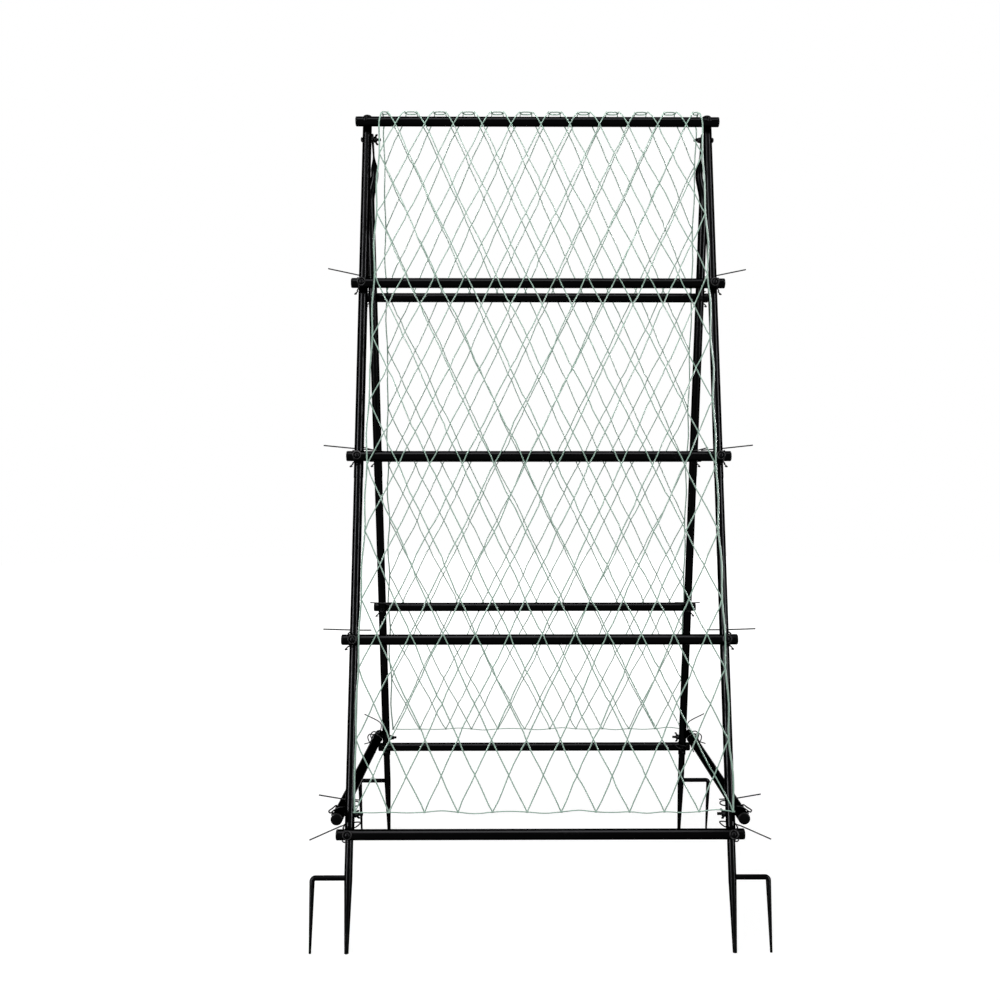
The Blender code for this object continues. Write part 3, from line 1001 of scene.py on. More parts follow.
    def square_ear(self, obj: Object, inwards: int) -> None:
        """Widens the ear's lens-shaped section, then flattens both its faces to the ear's thickness.

        Args:
            obj: The tube.
            inwards: Which way along local X the ear is set.
        """
        plan = self.plan
        low = -plan.pivot_drop * math.cos(2.0 * plan.lean) - self.ear_flat_length * 0.5
        middle = inwards * plan.ear_inset
        for out in (-1, 1):
            plane = middle + out * plan.ear_half_thickness
            for start, least, factor in ((middle, 1e-6, self.ear_widening), (plane, 0.0, 0.0)):
                Bench.choose(obj, "VERT", lambda v: v.co.z > low and out * (v.co.x - start) > least)
                bpy.ops.transform.resize(value=(factor, 1.0, 1.0), center_override=(start, 0.0, 0.0))
        bpy.ops.object.mode_set(mode="OBJECT")

    def uprights(self) -> None:
        """The upper and lower tube on each corner."""
        straight, low = self.front_upper(), self.lower()
        cranked = {inwards: self.back_upper(inwards) for inwards in (-1, 1)}
        for panel, corner, outwards, place in self.plan.corners():
            shape = straight if panel is Panel.FRONT else cranked[-outwards]
            for source, part in ((shape, "upper"), (low, "lower")):
                node = f"{corner}_{part}_upright"
                Bench.put(source, node + "_tube", place, panel.body, Slot.PAINT, node)
        Bench.discard(straight, low, *cranked.values())

    def build(self) -> None:
        """Makes all tubes."""
        self.uprights()
        self.crossbars()
        self.braces()


@dataclass
class StakeFeet:
    """Forked stakes: a long tapered spike and a rod that leaves it sideways and turns down to a point."""

    palette: Palette
    plan: Plan = PLAN
    sides: int = 40
    shank_radius: float = 0.0060
    tip_radius: float = 0.0030
    top_drop: float = 1.1400
    taper_drop: float = 1.2150
    rod_sides: int = 24
    rod_drop: float = 1.2095
    rod_offset: float = 0.0530
    rod_corner: float = 0.0048
    rod_radius: float = 0.0039
    rod_tip_radius: float = 0.0017
    bead_radius: float = 0.0011
    bead_reach_share: float = 0.80
    below_ground: float = 0.0060

    @property
    def tip_drop(self) -> float:
        """Drop of the uncut tips, a little under the ground."""
        return self.plan.apex_height / math.cos(self.plan.lean) + self.below_ground

    def spike(self) -> Object:
        """The shank and its taper.

        Returns:
            The spike on the Z axis.
        """
        profile = [
            (self.tip_radius, -self.tip_drop),
            (self.shank_radius, -self.taper_drop),
            (self.shank_radius, -self.top_drop),
        ]
        return Bench.turned("spike_shape", self.sides, profile)

    def rod(self) -> Object:
        """The side rod, drawn out along X, spun round its corner and drawn down to its tip.

        Returns:
            The rod.
        """
        obj = Bench.disc(self.rod_sides, self.rod_radius, 0.0)
        bpy.ops.object.mode_set(mode="OBJECT")
        obj.matrix_world = Matrix.Translation((0.0, 0.0, -self.rod_drop)) @ quarter("Y")
        Bench.edit(Bench.settle(obj))
        reach = self.rod_offset - self.rod_corner
        Bench.draw_to((reach, 0.0, 0.0), (reach, 0.0, -self.rod_drop))
        start = -self.rod_drop - self.rod_corner
        bpy.ops.mesh.spin(steps=8, angle=-math.pi / 2.0, center=(reach, 0.0, start), axis=(0.0, 1.0, 0.0))
        share = self.rod_tip_radius / self.rod_radius
        tip = (self.rod_offset, 0.0, -self.tip_drop)
        Bench.draw_to((0.0, 0.0, -self.tip_drop - start), tip, (share, share, 1.0))
        return Bench.close(obj)

    def bead(self) -> Object:
        """The weld bead round the rod where it leaves the spike, bent to follow the spike.

        Returns:
            The bead.
        """
        Bench.clear()
        bpy.ops.mesh.primitive_torus_add(
            major_radius=self.rod_radius + self.bead_radius * 0.3,
            minor_radius=self.bead_radius,
            major_segments=28,
            minor_segments=10,
            location=(self.shank_radius * self.bead_reach_share, 0.0, -self.rod_drop),
            rotation=(0.0, math.pi / 2.0, 0.0),
        )
        obj = Bench.settle(bpy.context.object)
        Bench.edit(obj)
        mesh = bmesh.from_edit_mesh(obj.data)
        for vert in mesh.verts:
            vert.co.x -= 0.9 * (self.shank_radius - math.sqrt(self.shank_radius**2 - vert.co.y**2))
        bmesh.update_edit_mesh(obj.data)
        return Bench.close(obj)

    def build(self) -> None:
        """Makes the four feet and cuts them level with the ground."""
        right = Bench.boolean(self.spike(), self.rod(), "UNION")
        right = Bench.boolean(right, self.bead(), "UNION")
        Bench.paint(right, self.palette.paint)
        left = Bench.copy(right, "left_fork", Matrix.Diagonal((-1.0, 1.0, 1.0, 1.0)))
        Bench.edit(left)
        shapes = {1: right, -1: Bench.close(left)}
        for panel, corner, outwards, place in self.plan.corners():
            node = corner + "_stake_foot"
            foot = Bench.copy(shapes[outwards], node + "_fork", place)
            Bench.edit(foot)
            bpy.ops.mesh.bisect(
                plane_co=(0.0, 0.0, 0.0), plane_no=(0.0, 0.0, 1.0), use_fill=True, clear_inner=True
            )
            Bench.issue(Bench.smooth(Bench.close(foot), 40.0), panel.body, Slot.PAINT, node)
        Bench.discard(*shapes.values())


@dataclass
class Fastenings:
    """Domed bolts with cross recesses, hexagon nuts on washers, and wing nuts."""

    palette: Palette
    plan: Plan = PLAN
    bolt_sides: int = 28
    nut_sides: int = 32
    shank_radius: float = 0.0024
    root_radius: float = 0.0021
    thread_pitch: float = 0.0008
    thread_length: float = 0.0072
    head_radius: float = 0.00425
    head_height: float = 0.0026
    head_edge: float = 0.0004
    head_degrees: tuple[float, ...] = (0.0, 12.0, 25.0, 40.0, 55.0, 68.0, 79.0)
    recess_width: float = 0.0009
    recess_depth: float = 0.0015
    nut_room: float = 0.0060
    washer_radius: float = 0.0050
    washer_thickness: float = 0.0008
    washer_edge: float = 0.00015
    nut_radius: float = 0.0044
    nut_height: float = 0.0038
    nut_insets: tuple[Pair, ...] = ((0.00085, 0.0), (0.0003, -0.0003))
    wing_nut_height: float = 0.0055
    wing_foot_radius: float = 0.0048
    wing_neck_radius: float = 0.0038
    wing_thickness: float = 0.0026
    wing_turn: float = math.radians(45.0)
    wing_middle: Point = (0.0030, 0.0, 0.0028)
    wing_root: Pair = (0.0016, 0.0040)
    wing_steps: tuple[tuple[Point, Point], ...] = (
        ((0.0014, 0.0, 0.0007), (1.0, 0.95, 1.02)),
        ((0.0016, 0.0, 0.0012), (1.0, 0.95, 1.15)),
        ((0.0014, 0.0, 0.0006), (1.0, 0.95, 1.02)),
        ((0.0011, 0.0, 0.0001), (1.0, 0.85, 0.70)),
    )
    bolt_spare: float = 0.0065
    seed: int = 11

    def thread(self, low: float) -> Profile:
        """Profile of a threaded end, from its chamfered tip up.

        Args:
            low: Height of the tip.

        Returns:
            Points as radius and height.
        """
        points = [(self.root_radius * 0.85, low), (self.root_radius, low + self.thread_pitch * 0.3)]
        turns = int(self.thread_length / self.thread_pitch)
        for turn in range(turns):
            base = low + self.thread_pitch * (turn + 0.5)
            points += [
                (self.shank_radius, base),
                (self.shank_radius, base + self.thread_pitch * 0.12),
                (self.root_radius, base + self.thread_pitch * 0.5),
            ]
        return [*points, (self.shank_radius, low + self.thread_pitch * (turns + 0.5))]

    def bolt(self, name: str, length: float) -> Object:
        """A domed bolt whose head sits on z = 0, with a cross recess in its top.

        Args:
            name: Name of the shape.
            length: Length under the head.

        Returns:
            The bolt.
        """
        profile = [*self.thread(-length), (self.shank_radius, 0.0), (self.head_radius - 0.0002, 0.0)]
        for turn in map(math.radians, self.head_degrees):
            rise = self.head_edge + (self.head_height - self.head_edge) * math.sin(turn)
            profile.append((self.head_radius * math.cos(turn), rise))
        obj = Bench.turned(name, self.bolt_sides, profile)
        for turn in (0.0, math.pi / 2.0):
            size = (self.head_radius * 1.05, self.recess_width, self.recess_depth * 2.0)
            blade = Bench.block((0.0, 0.0, self.head_height), size, turn)
            Bench.choose(blade, "FACE", lambda face: face.normal.z < -0.9)
            low = (0.0, 0.0, self.head_height - self.recess_depth)
            bpy.ops.transform.resize(value=(0.5, 0.5, 1.0), center_override=low)
            Bench.boolean(obj, Bench.close(blade), "DIFFERENCE")
        return Bench.smooth(Bench.paint(obj, self.palette.steel))

    def washer_and_nut(self) -> Object:
        """A hexagon nut with rounded corners on a plain washer, whose underside is on z = 0.

        Returns:
            The two as one solid.
        """
        radius, thick, edge = self.washer_radius, self.washer_thickness, self.washer_edge
        profile = [(radius - edge, 0.0), (radius, edge), (radius, thick - edge), (radius - edge, thick)]
        washer = Bench.turned("washer_shape", self.nut_sides, profile)
        top = thick + self.nut_height
        nut = Bench.turned("nut_shape", 6, [(self.nut_radius, thick - 0.0001), (self.nut_radius, top)])
        wide = self.nut_radius * 1.3
        profile = [(wide, thick - 0.01), (wide, top - 0.0010), (self.nut_radius * 0.84, top + 0.0001)]
        Bench.boolean(nut, Bench.turned("crown_shape", self.nut_sides, profile), "INTERSECT")
        low = top - 1e-5
        Bench.choose(nut, "FACE", lambda face: face.normal.z > 0.9 and face.calc_center_median().z > low)
        for thickness, depth in self.nut_insets:
            bpy.ops.mesh.inset(thickness=thickness, depth=depth)
        Bench.boolean(washer, Bench.close(nut), "UNION")
        return Bench.smooth(Bench.paint(washer, self.palette.steel), 25.0)

    def wing(self, turn: float) -> Object:
        """One wing, drawn up and out from the nut's side, then rounded.

        Args:
            turn: Angle about the nut's axis.

        Returns:
            The wing.
        """
        width, height = self.wing_root
        obj = Bench.block(self.wing_middle, (width, self.wing_thickness * 1.25, height))
        Bench.choose(obj, "FACE", lambda face: face.normal.x > 0.9)
        centre = Vector(self.wing_middle) + Vector((width / 2.0, 0.0, 0.0))
        for step, scale in self.wing_steps:
            centre = centre + Vector(step)
            Bench.draw_to(step, centre, scale)
        Bench.close(obj)
        bpy.ops.object.modifier_add(type="SUBSURF")
        obj.modifiers[-1].levels = 2
        bpy.ops.object.modifier_apply(modifier=obj.modifiers[-1].name)
        obj.rotation_euler = (0.0, 0.0, turn)
        return Bench.settle(obj)

    def wing_nut(self) -> Object:
        """A wing nut that stands on z = 0.

        Returns:
            The wing nut.
        """
        foot, neck, height = self.wing_foot_radius, self.wing_neck_radius, self.wing_nut_height
        profile = [
            (foot - 0.0003, 0.0),
            (foot, 0.0003),
            (foot, 0.0012),
            (foot - 0.0003, 0.0016),
            (neck + 0.0002, height - 0.0008),
            (neck - 0.0002, height - 0.0002),
            (neck - 0.0006, height),
            (self.shank_radius + 0.0004, height),
            (self.shank_radius + 0.0001, height - 0.0003),
        ]
        obj = Bench.turned("wing_nut_shape", self.nut_sides, profile)
        for turn in (self.wing_turn, self.wing_turn + math.pi):
            Bench.boolean(obj, self.wing(turn), "UNION")
        return Bench.smooth(Bench.paint(obj, self.palette.steel), 40.0)

    def crossbar_bolts(self) -> None:
        """A bolt, a washer and a nut wherever a crossbar crosses an upright."""
        plan = self.plan
        length = plan.seat_gap + 2.0 * (plan.bar_radius + plan.upper_radius) + self.nut_room
        bolt, nut = self.bolt("crossbar_bolt_shape", length), self.washer_and_nut()
        spin = random.Random(self.seed)
        for panel, bar, drop in plan.bars():
            for side in Side:
                x, node = plan.local_x(panel, side), f"{bar}_{side.label}_bolt"
                turn = Matrix.Rotation(spin.uniform(0.0, math.tau), 4, "Z")
                head = plan.at(panel, x, plan.bar_out(drop) + plan.bar_radius + plan.seat_gap, drop)
                Bench.put(bolt, node + "_domed", head @ quarter("X") @ turn, panel.body, Slot.STEEL, node)
                back = plan.at(panel, x, -plan.upright_radius(drop), drop)
                Bench.put(nut, node + "_nut", back @ quarter("X", -1) @ turn, panel.body, Slot.STEEL)
        Bench.discard(bolt, nut)

    @staticmethod
    def crosswise(shape: Object, node: str, kind: str, place: Matrix, facing: int, body: str = "") -> None:
        """Puts a fastening that lies along X, with its head or a wing nut's foot at one side.

        Args:
            shape: The shape to copy.
            node: The CAD node that it replaces.
            kind: Last word of its name.
            place: Axes of its place.
            facing: Which way along X it looks.
            body: CAD body that it moves with, the node's own where left out.
        """
        Bench.put(shape, f"{node}_{kind}", place @ quarter("Y", facing), body or node, Slot.STEEL, node)

    def ridge_pivots(self, wing_nut: Object) -> None:
        """The two bolts that the back panel folds on, and their wing nuts.

        Args:
            wing_nut: The shape to copy.
        """
        plan = self.plan
        reach = plan.upper_radius + plan.ear_inset + plan.ear_half_thickness + 2.0 * plan.seat_gap
        shape = self.bolt("ridge_bolt_shape", reach + self.wing_nut_height + self.bolt_spare)
        outer = plan.half_span + plan.upper_radius + plan.seat_gap
        for side in Side:
            s, name = side.value, side.label + "_ridge"
            place = plan.at(Panel.FRONT, s * outer, 0.0, plan.pivot_drop)
            self.crosswise(shape, name + "_bolt", "domed", place, s, Panel.FRONT.body)
            place = plan.at(Panel.FRONT, s * (outer - reach - plan.seat_gap), 0.0, plan.pivot_drop)
            self.crosswise(wing_nut, name + "_wing_nut", "cast", place, -s)
        Bench.discard(shape)

    def brace_bolts(self, wing_nut: Object) -> None:
        """The bolts and wing nuts at both ends of the braces. The rear ones are in two pieces, as in the CAD.

        Args:
            wing_nut: The shape to copy.
        """
        plan = self.plan
        drop = plan.brace_drop
        nut_x = plan.lower_radius + plan.seat_gap
        head_x = nut_x + 2.0 * plan.brace_radius + plan.seat_gap
        front = self.bolt("brace_bolt_shape", head_x + nut_x + self.wing_nut_height + self.bolt_spare)
        rear = self.bolt("rear_bolt_shape", 2.0 * plan.brace_radius + plan.seat_gap)
        end_length = nut_x + plan.lower_radius + self.wing_nut_height + self.bolt_spare
        profile = [*self.thread(-end_length), (self.shank_radius, 0.0)]
        end = Bench.turned("rear_end_shape", self.bolt_sides, profile)
        Bench.smooth(Bench.paint(end, self.palette.steel))
        for side in Side:
            s, name = side.value, side.label + "_brace"
            head = s * (plan.half_span + head_x)
            place = plan.at(Panel.FRONT, head, 0.0, drop)
            self.crosswise(front, name + "_front_bolt", "domed", place, s, Panel.FRONT.body)
            place = plan.at(Panel.FRONT, s * (plan.half_span - nut_x), 0.0, drop)
            self.crosswise(wing_nut, name + "_front_wing_nut", "cast", place, -s)

            place = Matrix.Translation((head, plan.brace_y, plan.brace_height))
            self.crosswise(rear, name + "_rear_bolt", "domed", place, s, name)
            x = plan.local_x(Panel.BACK, side)
            away = int(math.copysign(1, x))
            place = plan.at(Panel.BACK, x + away * plan.lower_radius, 0.0, drop)
            self.crosswise(end, name + "_rear_bolt_end", "threaded", place, away, Panel.BACK.body)
            place = plan.at(Panel.BACK, x - away * nut_x, 0.0, drop)
            self.crosswise(wing_nut, name + "_rear_wing_nut", "cast", place, -away)
        Bench.discard(front, rear, end)

    def build(self) -> None:
        """Makes all fastenings."""
        self.crossbar_bolts()
        wing_nut = self.wing_nut()
        self.ridge_pivots(wing_nut)
        self.brace_bolts(wing_nut)
        Bench.discard(wing_nut)


def between(table: Sequence[Pair], key: float) -> float:
    """Reads a table of pairs with straight lines between them.

    Args:
        table: Pairs of key and value, in order of key.
        key: Where to read it.

    Returns:
        The value there.
    """
    for (low, first), (high, second) in zip(table, table[1:]):
        if key <= high:
            return first + (second - first) * (key - low) / (high - low)
    return table[-1][1]


def flowing(points: Sequence[Vector], steps: int) -> list[Vector]:
    """A smooth line through points.

    Args:
        points: The points.
        steps: Points made for each stretch between two of them.

    Returns:
        The line's points.
    """
    ends = [points[0] * 2.0 - points[1], *points, points[-1] * 2.0 - points[-2]]
    line = []
    for before, start, end, after in zip(ends, ends[1:], ends[2:], ends[3:]):
        bend = 2.0 * before - 5.0 * start + 4.0 * end - after
        swing = 3.0 * start - before - 3.0 * end + after
        for t in (step / steps for step in range(steps)):
            line.append(0.5 * (2.0 * start + (end - before) * t + bend * t**2 + swing * t**3))
    return [*line, points[-1]]


@dataclass
class CordMaker:
    """Gathers lines and makes one mesh of round cords from them."""

    radius: float
    rings: int = 1
    strands: float = 3.0
    lines: list[tuple[list[Vector], list[float]]] = field(default_factory=list)

    def add(self, points: Sequence[Vector], sizes: Sequence[float] | None = None) -> None:
        """Adds a line, with the share of the radius at each of its points, 1 where left out."""
        self.lines.append((list(points), list(sizes or [1.0] * len(points))))

    def make(self, name: str, twist_pitch: float = 0.0) -> Object:
        """Makes the mesh.

        Args:
            name: Name of the object.
            twist_pitch: Length of one turn of the strands, in metres; 0 makes no winding.

        Returns:
            The mesh object, with a winding value on each corner where it has a twist.
        """
        curve = bpy.data.curves.new(name, "CURVE")
        curve.dimensions = "3D"
        curve.bevel_depth = self.radius
        curve.bevel_resolution = self.rings
        curve.use_fill_caps = True
        curve.twist_mode = "MINIMUM"
        for points, sizes in self.lines:
            spline = curve.splines.new("POLY")
            spline.points.add(len(points) - 1)
            for target, point, size in zip(spline.points, points, sizes):
                target.co = (*point, 1.0)
                target.radius = size
        obj = bpy.data.objects.new(name, curve)
        bpy.context.scene.collection.objects.link(obj)
        Bench.pick(obj)
        bpy.ops.object.convert(target="MESH")
        obj = bpy.context.object
        obj.name = name
        obj.data.name = name
        if twist_pitch:
            self.wind(obj, twist_pitch)
        Bench.edit(obj)
        bpy.ops.mesh.remove_doubles(threshold=1e-7)
        bpy.ops.mesh.normals_make_consistent(inside=False)
        bpy.ops.object.mode_set(mode="OBJECT")
        return Bench.smooth(obj, 60.0)

    def wind(self, obj: Object, twist_pitch: float) -> None:
        """Stores how far round its strand each corner is.

        The curve's own map runs once along each line and once round it, so a line's length turns it into
        a number of turns that grows evenly along the cord. The map is read after the new layer is added,
        because adding one moves the others.

        Args:
            obj: The mesh made from the lines.
            twist_pitch: Length of one turn of the strands.
        """
        sides = 4 + 2 * self.rings
        lengths = [sum((b - a).length for a, b in zip(p, p[1:])) for p, _ in self.lines]
        faces = [(len(points) - 1) * sides for points, _ in self.lines]
        obj.data.attributes.new("winding", "FLOAT", "CORNER")
        uv = [0.0] * (2 * len(obj.data.loops))
        obj.data.uv_layers.active.data.foreach_get("uv", uv)
        line, seen = 0, 0
        values = [0.0] * len(obj.data.loops)
        for polygon in obj.data.polygons:
            if polygon.loop_total != 4 or line >= len(faces):
                continue
            for loop in polygon.loop_indices:
                along, round_it = uv[2 * loop], uv[2 * loop + 1]
                turns = along * lengths[line] / twist_pitch
                values[loop] = turns * self.strands + round_it * self.strands
            seen += 1
            if seen == faces[line]:
                line, seen = line + 1, 0
        obj.data.attributes["winding"].data.foreach_set("value", values)


@dataclass
class DiamondNet:
    """The net: rows of zigzag twine tied to each other, with edge cords, hung over both panels."""

    palette: Palette
    plan: Plan = PLAN
    columns: int = 11
    levels: int = 22
    first_drop: float = 0.0230
    last_drop: float = 1.1140
    out: float = 0.0250
    cord_radius: float = 0.00100
    edge_radius_share: float = 1.3
    hem_radius_share: float = 0.82
    hem_sags: tuple[float, ...] = (
        0.0006, 0.0008, -0.0020, 0.0022, -0.0010, 0.0018, -0.0024, 0.0008, 0.0020, 0.0012, -0.0028
    )  # fmt: skip
    left_edge: tuple[Pair, ...] = (
        (0.0, -0.2578), (0.43, -0.2628), (0.57, -0.2668), (0.70, -0.2674), (0.80, -0.2704), (0.95, -0.2725),
        (1.114, -0.2716),
    )  # fmt: skip
    right_edge: tuple[Pair, ...] = (
        (0.0, 0.2680), (0.43, 0.2727), (0.70, 0.2745), (0.80, 0.2770), (0.90, 0.2778), (1.01, 0.2798),
        (1.114, 0.2822),
    )  # fmt: skip
    edge_bulge: float = 0.0024
    edge_climb: tuple[Pair, ...] = ((0.0252, 1.2835), (0.0195, 1.2885))
    climb: tuple[Pair, ...] = ((0.0268, 1.2775), (0.0248, 1.2830), (0.0195, 1.2881), (0.0125, 1.2935))
    loop: tuple[Pair, ...] = ((-1.0, 0.1), (-0.65, 0.9), (0.0, 1.0), (0.65, 0.9), (1.0, 0.1))
    loop_half: float = 0.0093
    ridge_height: float = 1.2949
    ridge_reach: float = 0.0042
    ridge_lift: float = 0.0008
    ridge_tie_share: float = 0.7
    leg_bow: tuple[tuple[float, float, float], ...] = (
        (0.05, 0.0, 0.0), (0.3, 1.0, 1.0), (0.6, 1.0, 0.0), (0.8, 1.0, -1.0), (0.95, 0.0, 0.0)
    )  # fmt: skip
    stray: float = 0.0011
    stray_share: float = 0.6
    knot_size: float = 1.30
    knot_length: float = 0.0026
    twist_pitch: float = 0.0060
    seed: int = 7

    def drop(self, level: int) -> float:
        """Drop of a level of knots, where level 1 is just under the ridge."""
        return self.first_drop + (self.last_drop - self.first_drop) * (level - 1) / (self.levels - 1)

    def stops(self, level: int) -> int:
        """How many knots a level has. The ridge and every second level under it end on the edges."""
        return self.columns + 1 if level % 2 == 0 else self.columns

    def across(self, level: int, index: int, drop: float) -> float:
        """X of a knot.

        Args:
            level: Its level.
            index: Its number from the left.
            drop: Its drop.

        Returns:
            X in the shared frame.
        """
        left, right = between(self.left_edge, drop), between(self.right_edge, drop)
        place = index if level % 2 == 0 else index + 0.5
        return left + (right - left) * place / self.columns

    def on_panel(self, panel: Panel, x: float, drop: float) -> Vector:
        """A point on a panel's net.

        Args:
            panel: Which panel.
            x: X in the shared frame.
            drop: Its drop.

        Returns:
            The point in the shared frame.
        """
        lean = self.plan.lean
        y = panel.sign * (math.sin(lean) * drop + math.cos(lean) * self.out)
        return Vector((x, y, self.plan.apex_height - math.cos(lean) * drop + math.sin(lean) * self.out))

    def knots(self, panel: Panel) -> dict[tuple[int, int], Vector]:
        """Places of all knots of a panel, each a little off its even place.

        Args:
            panel: Which panel.

        Returns:
            Each knot's place by its level and number.
        """
        chance = random.Random(self.seed + panel.sign)
        places = {}
        for level in range(1, self.levels + 1):
            for index in range(self.stops(level)):
                drop = self.drop(level)
                inside = 0 < index < self.stops(level) - 1 or level % 2
                shift = self.stray * (1.0 if inside else self.stray_share)
                x = self.across(level, index, drop) + chance.uniform(-shift, shift)
                if 1 < level < self.levels:
                    drop += chance.uniform(-self.stray, self.stray)
                places[level, index] = self.on_panel(panel, x, drop)
        return places

    def leg(self, start: Vector, end: Vector, chance: random.Random) -> list[Vector]:
        """Points of one side of a diamond, bowed a little, without its ends.

        Args:
            start: Where it starts.
            end: Where it ends.
            chance: Where its bow comes from.

        Returns:
            The points between the ends.
        """
        sideways = (end - start).cross(Vector((0.0, 1.0, 0.0))).normalized()
        bow = chance.uniform(-self.stray, self.stray)
        kink = chance.uniform(-self.stray, self.stray) * self.stray_share
        return [
            start.lerp(end, share) + sideways * (bow * bowed + kink * kinked)
            for share, bowed, kinked in self.leg_bow
        ]

    def zigzags(self, maker: CordMaker, panel: Panel, places: dict[tuple[int, int], Vector]) -> None:
        """Adds one twine between each two levels of a panel.

        Args:
            maker: Takes the lines.
            panel: Which panel.
            places: The panel's knots.
        """
        chance = random.Random(self.seed * 3 + panel.sign)
        for level in range(1, self.levels):
            even, odd = (level, level + 1) if level % 2 == 0 else (level + 1, level)
            stops = []
            for index in range(self.columns):
                stops += [places[even, index], places[odd, index]]
            stops.append(places[even, self.columns])
            line = [stops[0]]
            for start, end in zip(stops, stops[1:]):
                line += [*self.leg(start, end, chance), end]
            maker.add(line)

    def over_ridge(self, maker: CordMaker, panel: Panel, places: dict[tuple[int, int], Vector]) -> None:
        """Adds the twine that links the first level of a panel with the ridge, in flat-topped loops.

        Args:
            maker: Takes the lines.
            panel: Which panel.
            places: The panel's knots.
        """
        s = panel.sign
        line: list[Vector] = []
        for index in range(self.columns + 1):
            x = self.across(0, index, 0.0)
            loop = []
            for along, out in self.loop:
                z = self.ridge_height - s * self.ridge_lift * out
                loop.append(Vector((x + self.loop_half * along, s * self.ridge_reach * out, z)))
            middle = len(loop) // 2
            loop = loop[middle if index == 0 else 0 : middle + 1 if index == self.columns else len(loop)]
            if line:
                knot = places[1, index - 1]
                line += self.climbing(line[-1], knot, s)[-2::-1]
                line += self.climbing(loop[0], knot, s)[1:-1]
            line += flowing(loop, 3)
            for corner in (loop[0], loop[-1]):
                if panel is Panel.FRONT and abs(corner.x - x) > self.loop_half / 2.0:
                    self.tie(maker, corner, Vector((self.ridge_tie_share, 0.0, 0.0)))
        maker.add(line)

    def climbing(self, top: Vector, knot: Vector, s: int) -> list[Vector]:
        """Points from a knot of the first level up over the ridge bar to a loop's end.

        Args:
            top: The loop's end.
            knot: The knot.
            s: Which way along Y the panel leans.

        Returns:
            The points, from the knot up.
        """
        points = [knot]
        for y, z in self.climb:
            share = (z - knot.z) / (top.z - knot.z)
            points.append(Vector((knot.x + (top.x - knot.x) * share, s * y, z)))
        return flowing([*points, top], 3)

    def edges(self, maker: CordMaker, places: dict[Panel, dict[tuple[int, int], Vector]]) -> None:
        """Adds the two side cords, from one lower edge over the ridge to the other, and the lower cords.

        Args:
            maker: Takes the lines.
            places: Each panel's knots.
        """
        chance = random.Random(self.seed * 5)
        for index, table in ((0, self.left_edge), (-1, self.right_edge)):
            top_x, halves = table[0][1], {}
            bulge = math.copysign(self.edge_bulge, top_x)
            for panel in Panel:
                line = halves[panel] = []
                for level in range(self.levels, 0, -1):
                    wave = chance.uniform(-self.stray, self.stray)
                    if level % 2 == 0:
                        line.append(places[panel][level, 0 if index == 0 else self.stops(level) - 1])
                    else:
                        drop = self.drop(level)
                        line.append(self.on_panel(panel, between(table, drop) + wave + bulge, drop))
                line += [Vector((top_x, panel.sign * y, z)) for y, z in self.edge_climb]
            middle = Vector((top_x, 0.0, self.ridge_height))
            line = flowing([*halves[Panel.FRONT], middle, *reversed(halves[Panel.BACK])], 3)
            maker.add(line, [self.edge_radius_share] * len(line))
        for panel in Panel:
            knots = [places[panel][self.levels, index] for index in range(self.columns + 1)]
            stops = knots[:1]
            for knot, after, sag in zip(knots, knots[1:], self.hem_sags):
                low = self.on_panel(panel, (knot.x + after.x) / 2.0, self.last_drop + sag)
                stops += [low, after]
            line = flowing(stops, 4)
            maker.add(line, [self.hem_radius_share] * len(line))

    def ties(self, maker: CordMaker, places: dict[tuple[int, int], Vector]) -> None:
        """Adds the small bonded lump at every knot of a panel.

        Args:
            maker: Takes the lines.
            places: The panel's knots.
        """
        for (level, _), place in places.items():
            lean = math.copysign(math.tan(self.plan.lean), place.y)
            way = Vector((1.0, 0.0, 0.0)) if level == self.levels else Vector((0.0, lean, -1.0)).normalized()
            self.tie(maker, place, way)

    def tie(self, maker: CordMaker, place: Vector, way: Vector) -> None:
        """Adds one bonded lump with its middle at a place, along a way of length 1 or less."""
        line = [place + way * (self.knot_length * share) for share in (-1.0, -0.65, 0.0, 0.65, 1.0)]
        maker.add(line, [0.5, 1.1, self.knot_size, 1.1, 0.5])

    def build(self) -> None:
        """Makes the net as one piece that runs over the ridge from one panel to the other."""
        maker = CordMaker(self.cord_radius)
        places = {panel: self.knots(panel) for panel in Panel}
        for panel in Panel:
            self.zigzags(maker, panel, places[panel])
            self.over_ridge(maker, panel, places[panel])
        self.edges(maker, places)
        for panel in Panel:
            self.ties(maker, places[panel])
        net = Bench.paint(maker.make("diamond_net", self.twist_pitch), self.palette.twine)
        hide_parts("front_net", "ridge_net", "back_net")
        edge = self.on_panel(Panel.FRONT, 0.0, 0.0)
        start, end = (0.0, edge.y, edge.z), (0.0, -edge.y, edge.z)
        Panel.FRONT.body
        Panel.BACK.body
        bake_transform(net)
        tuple(start)
        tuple(end)
        log.info("%s hangs over both panels: %d cords and knots", net.name, len(maker.lines))


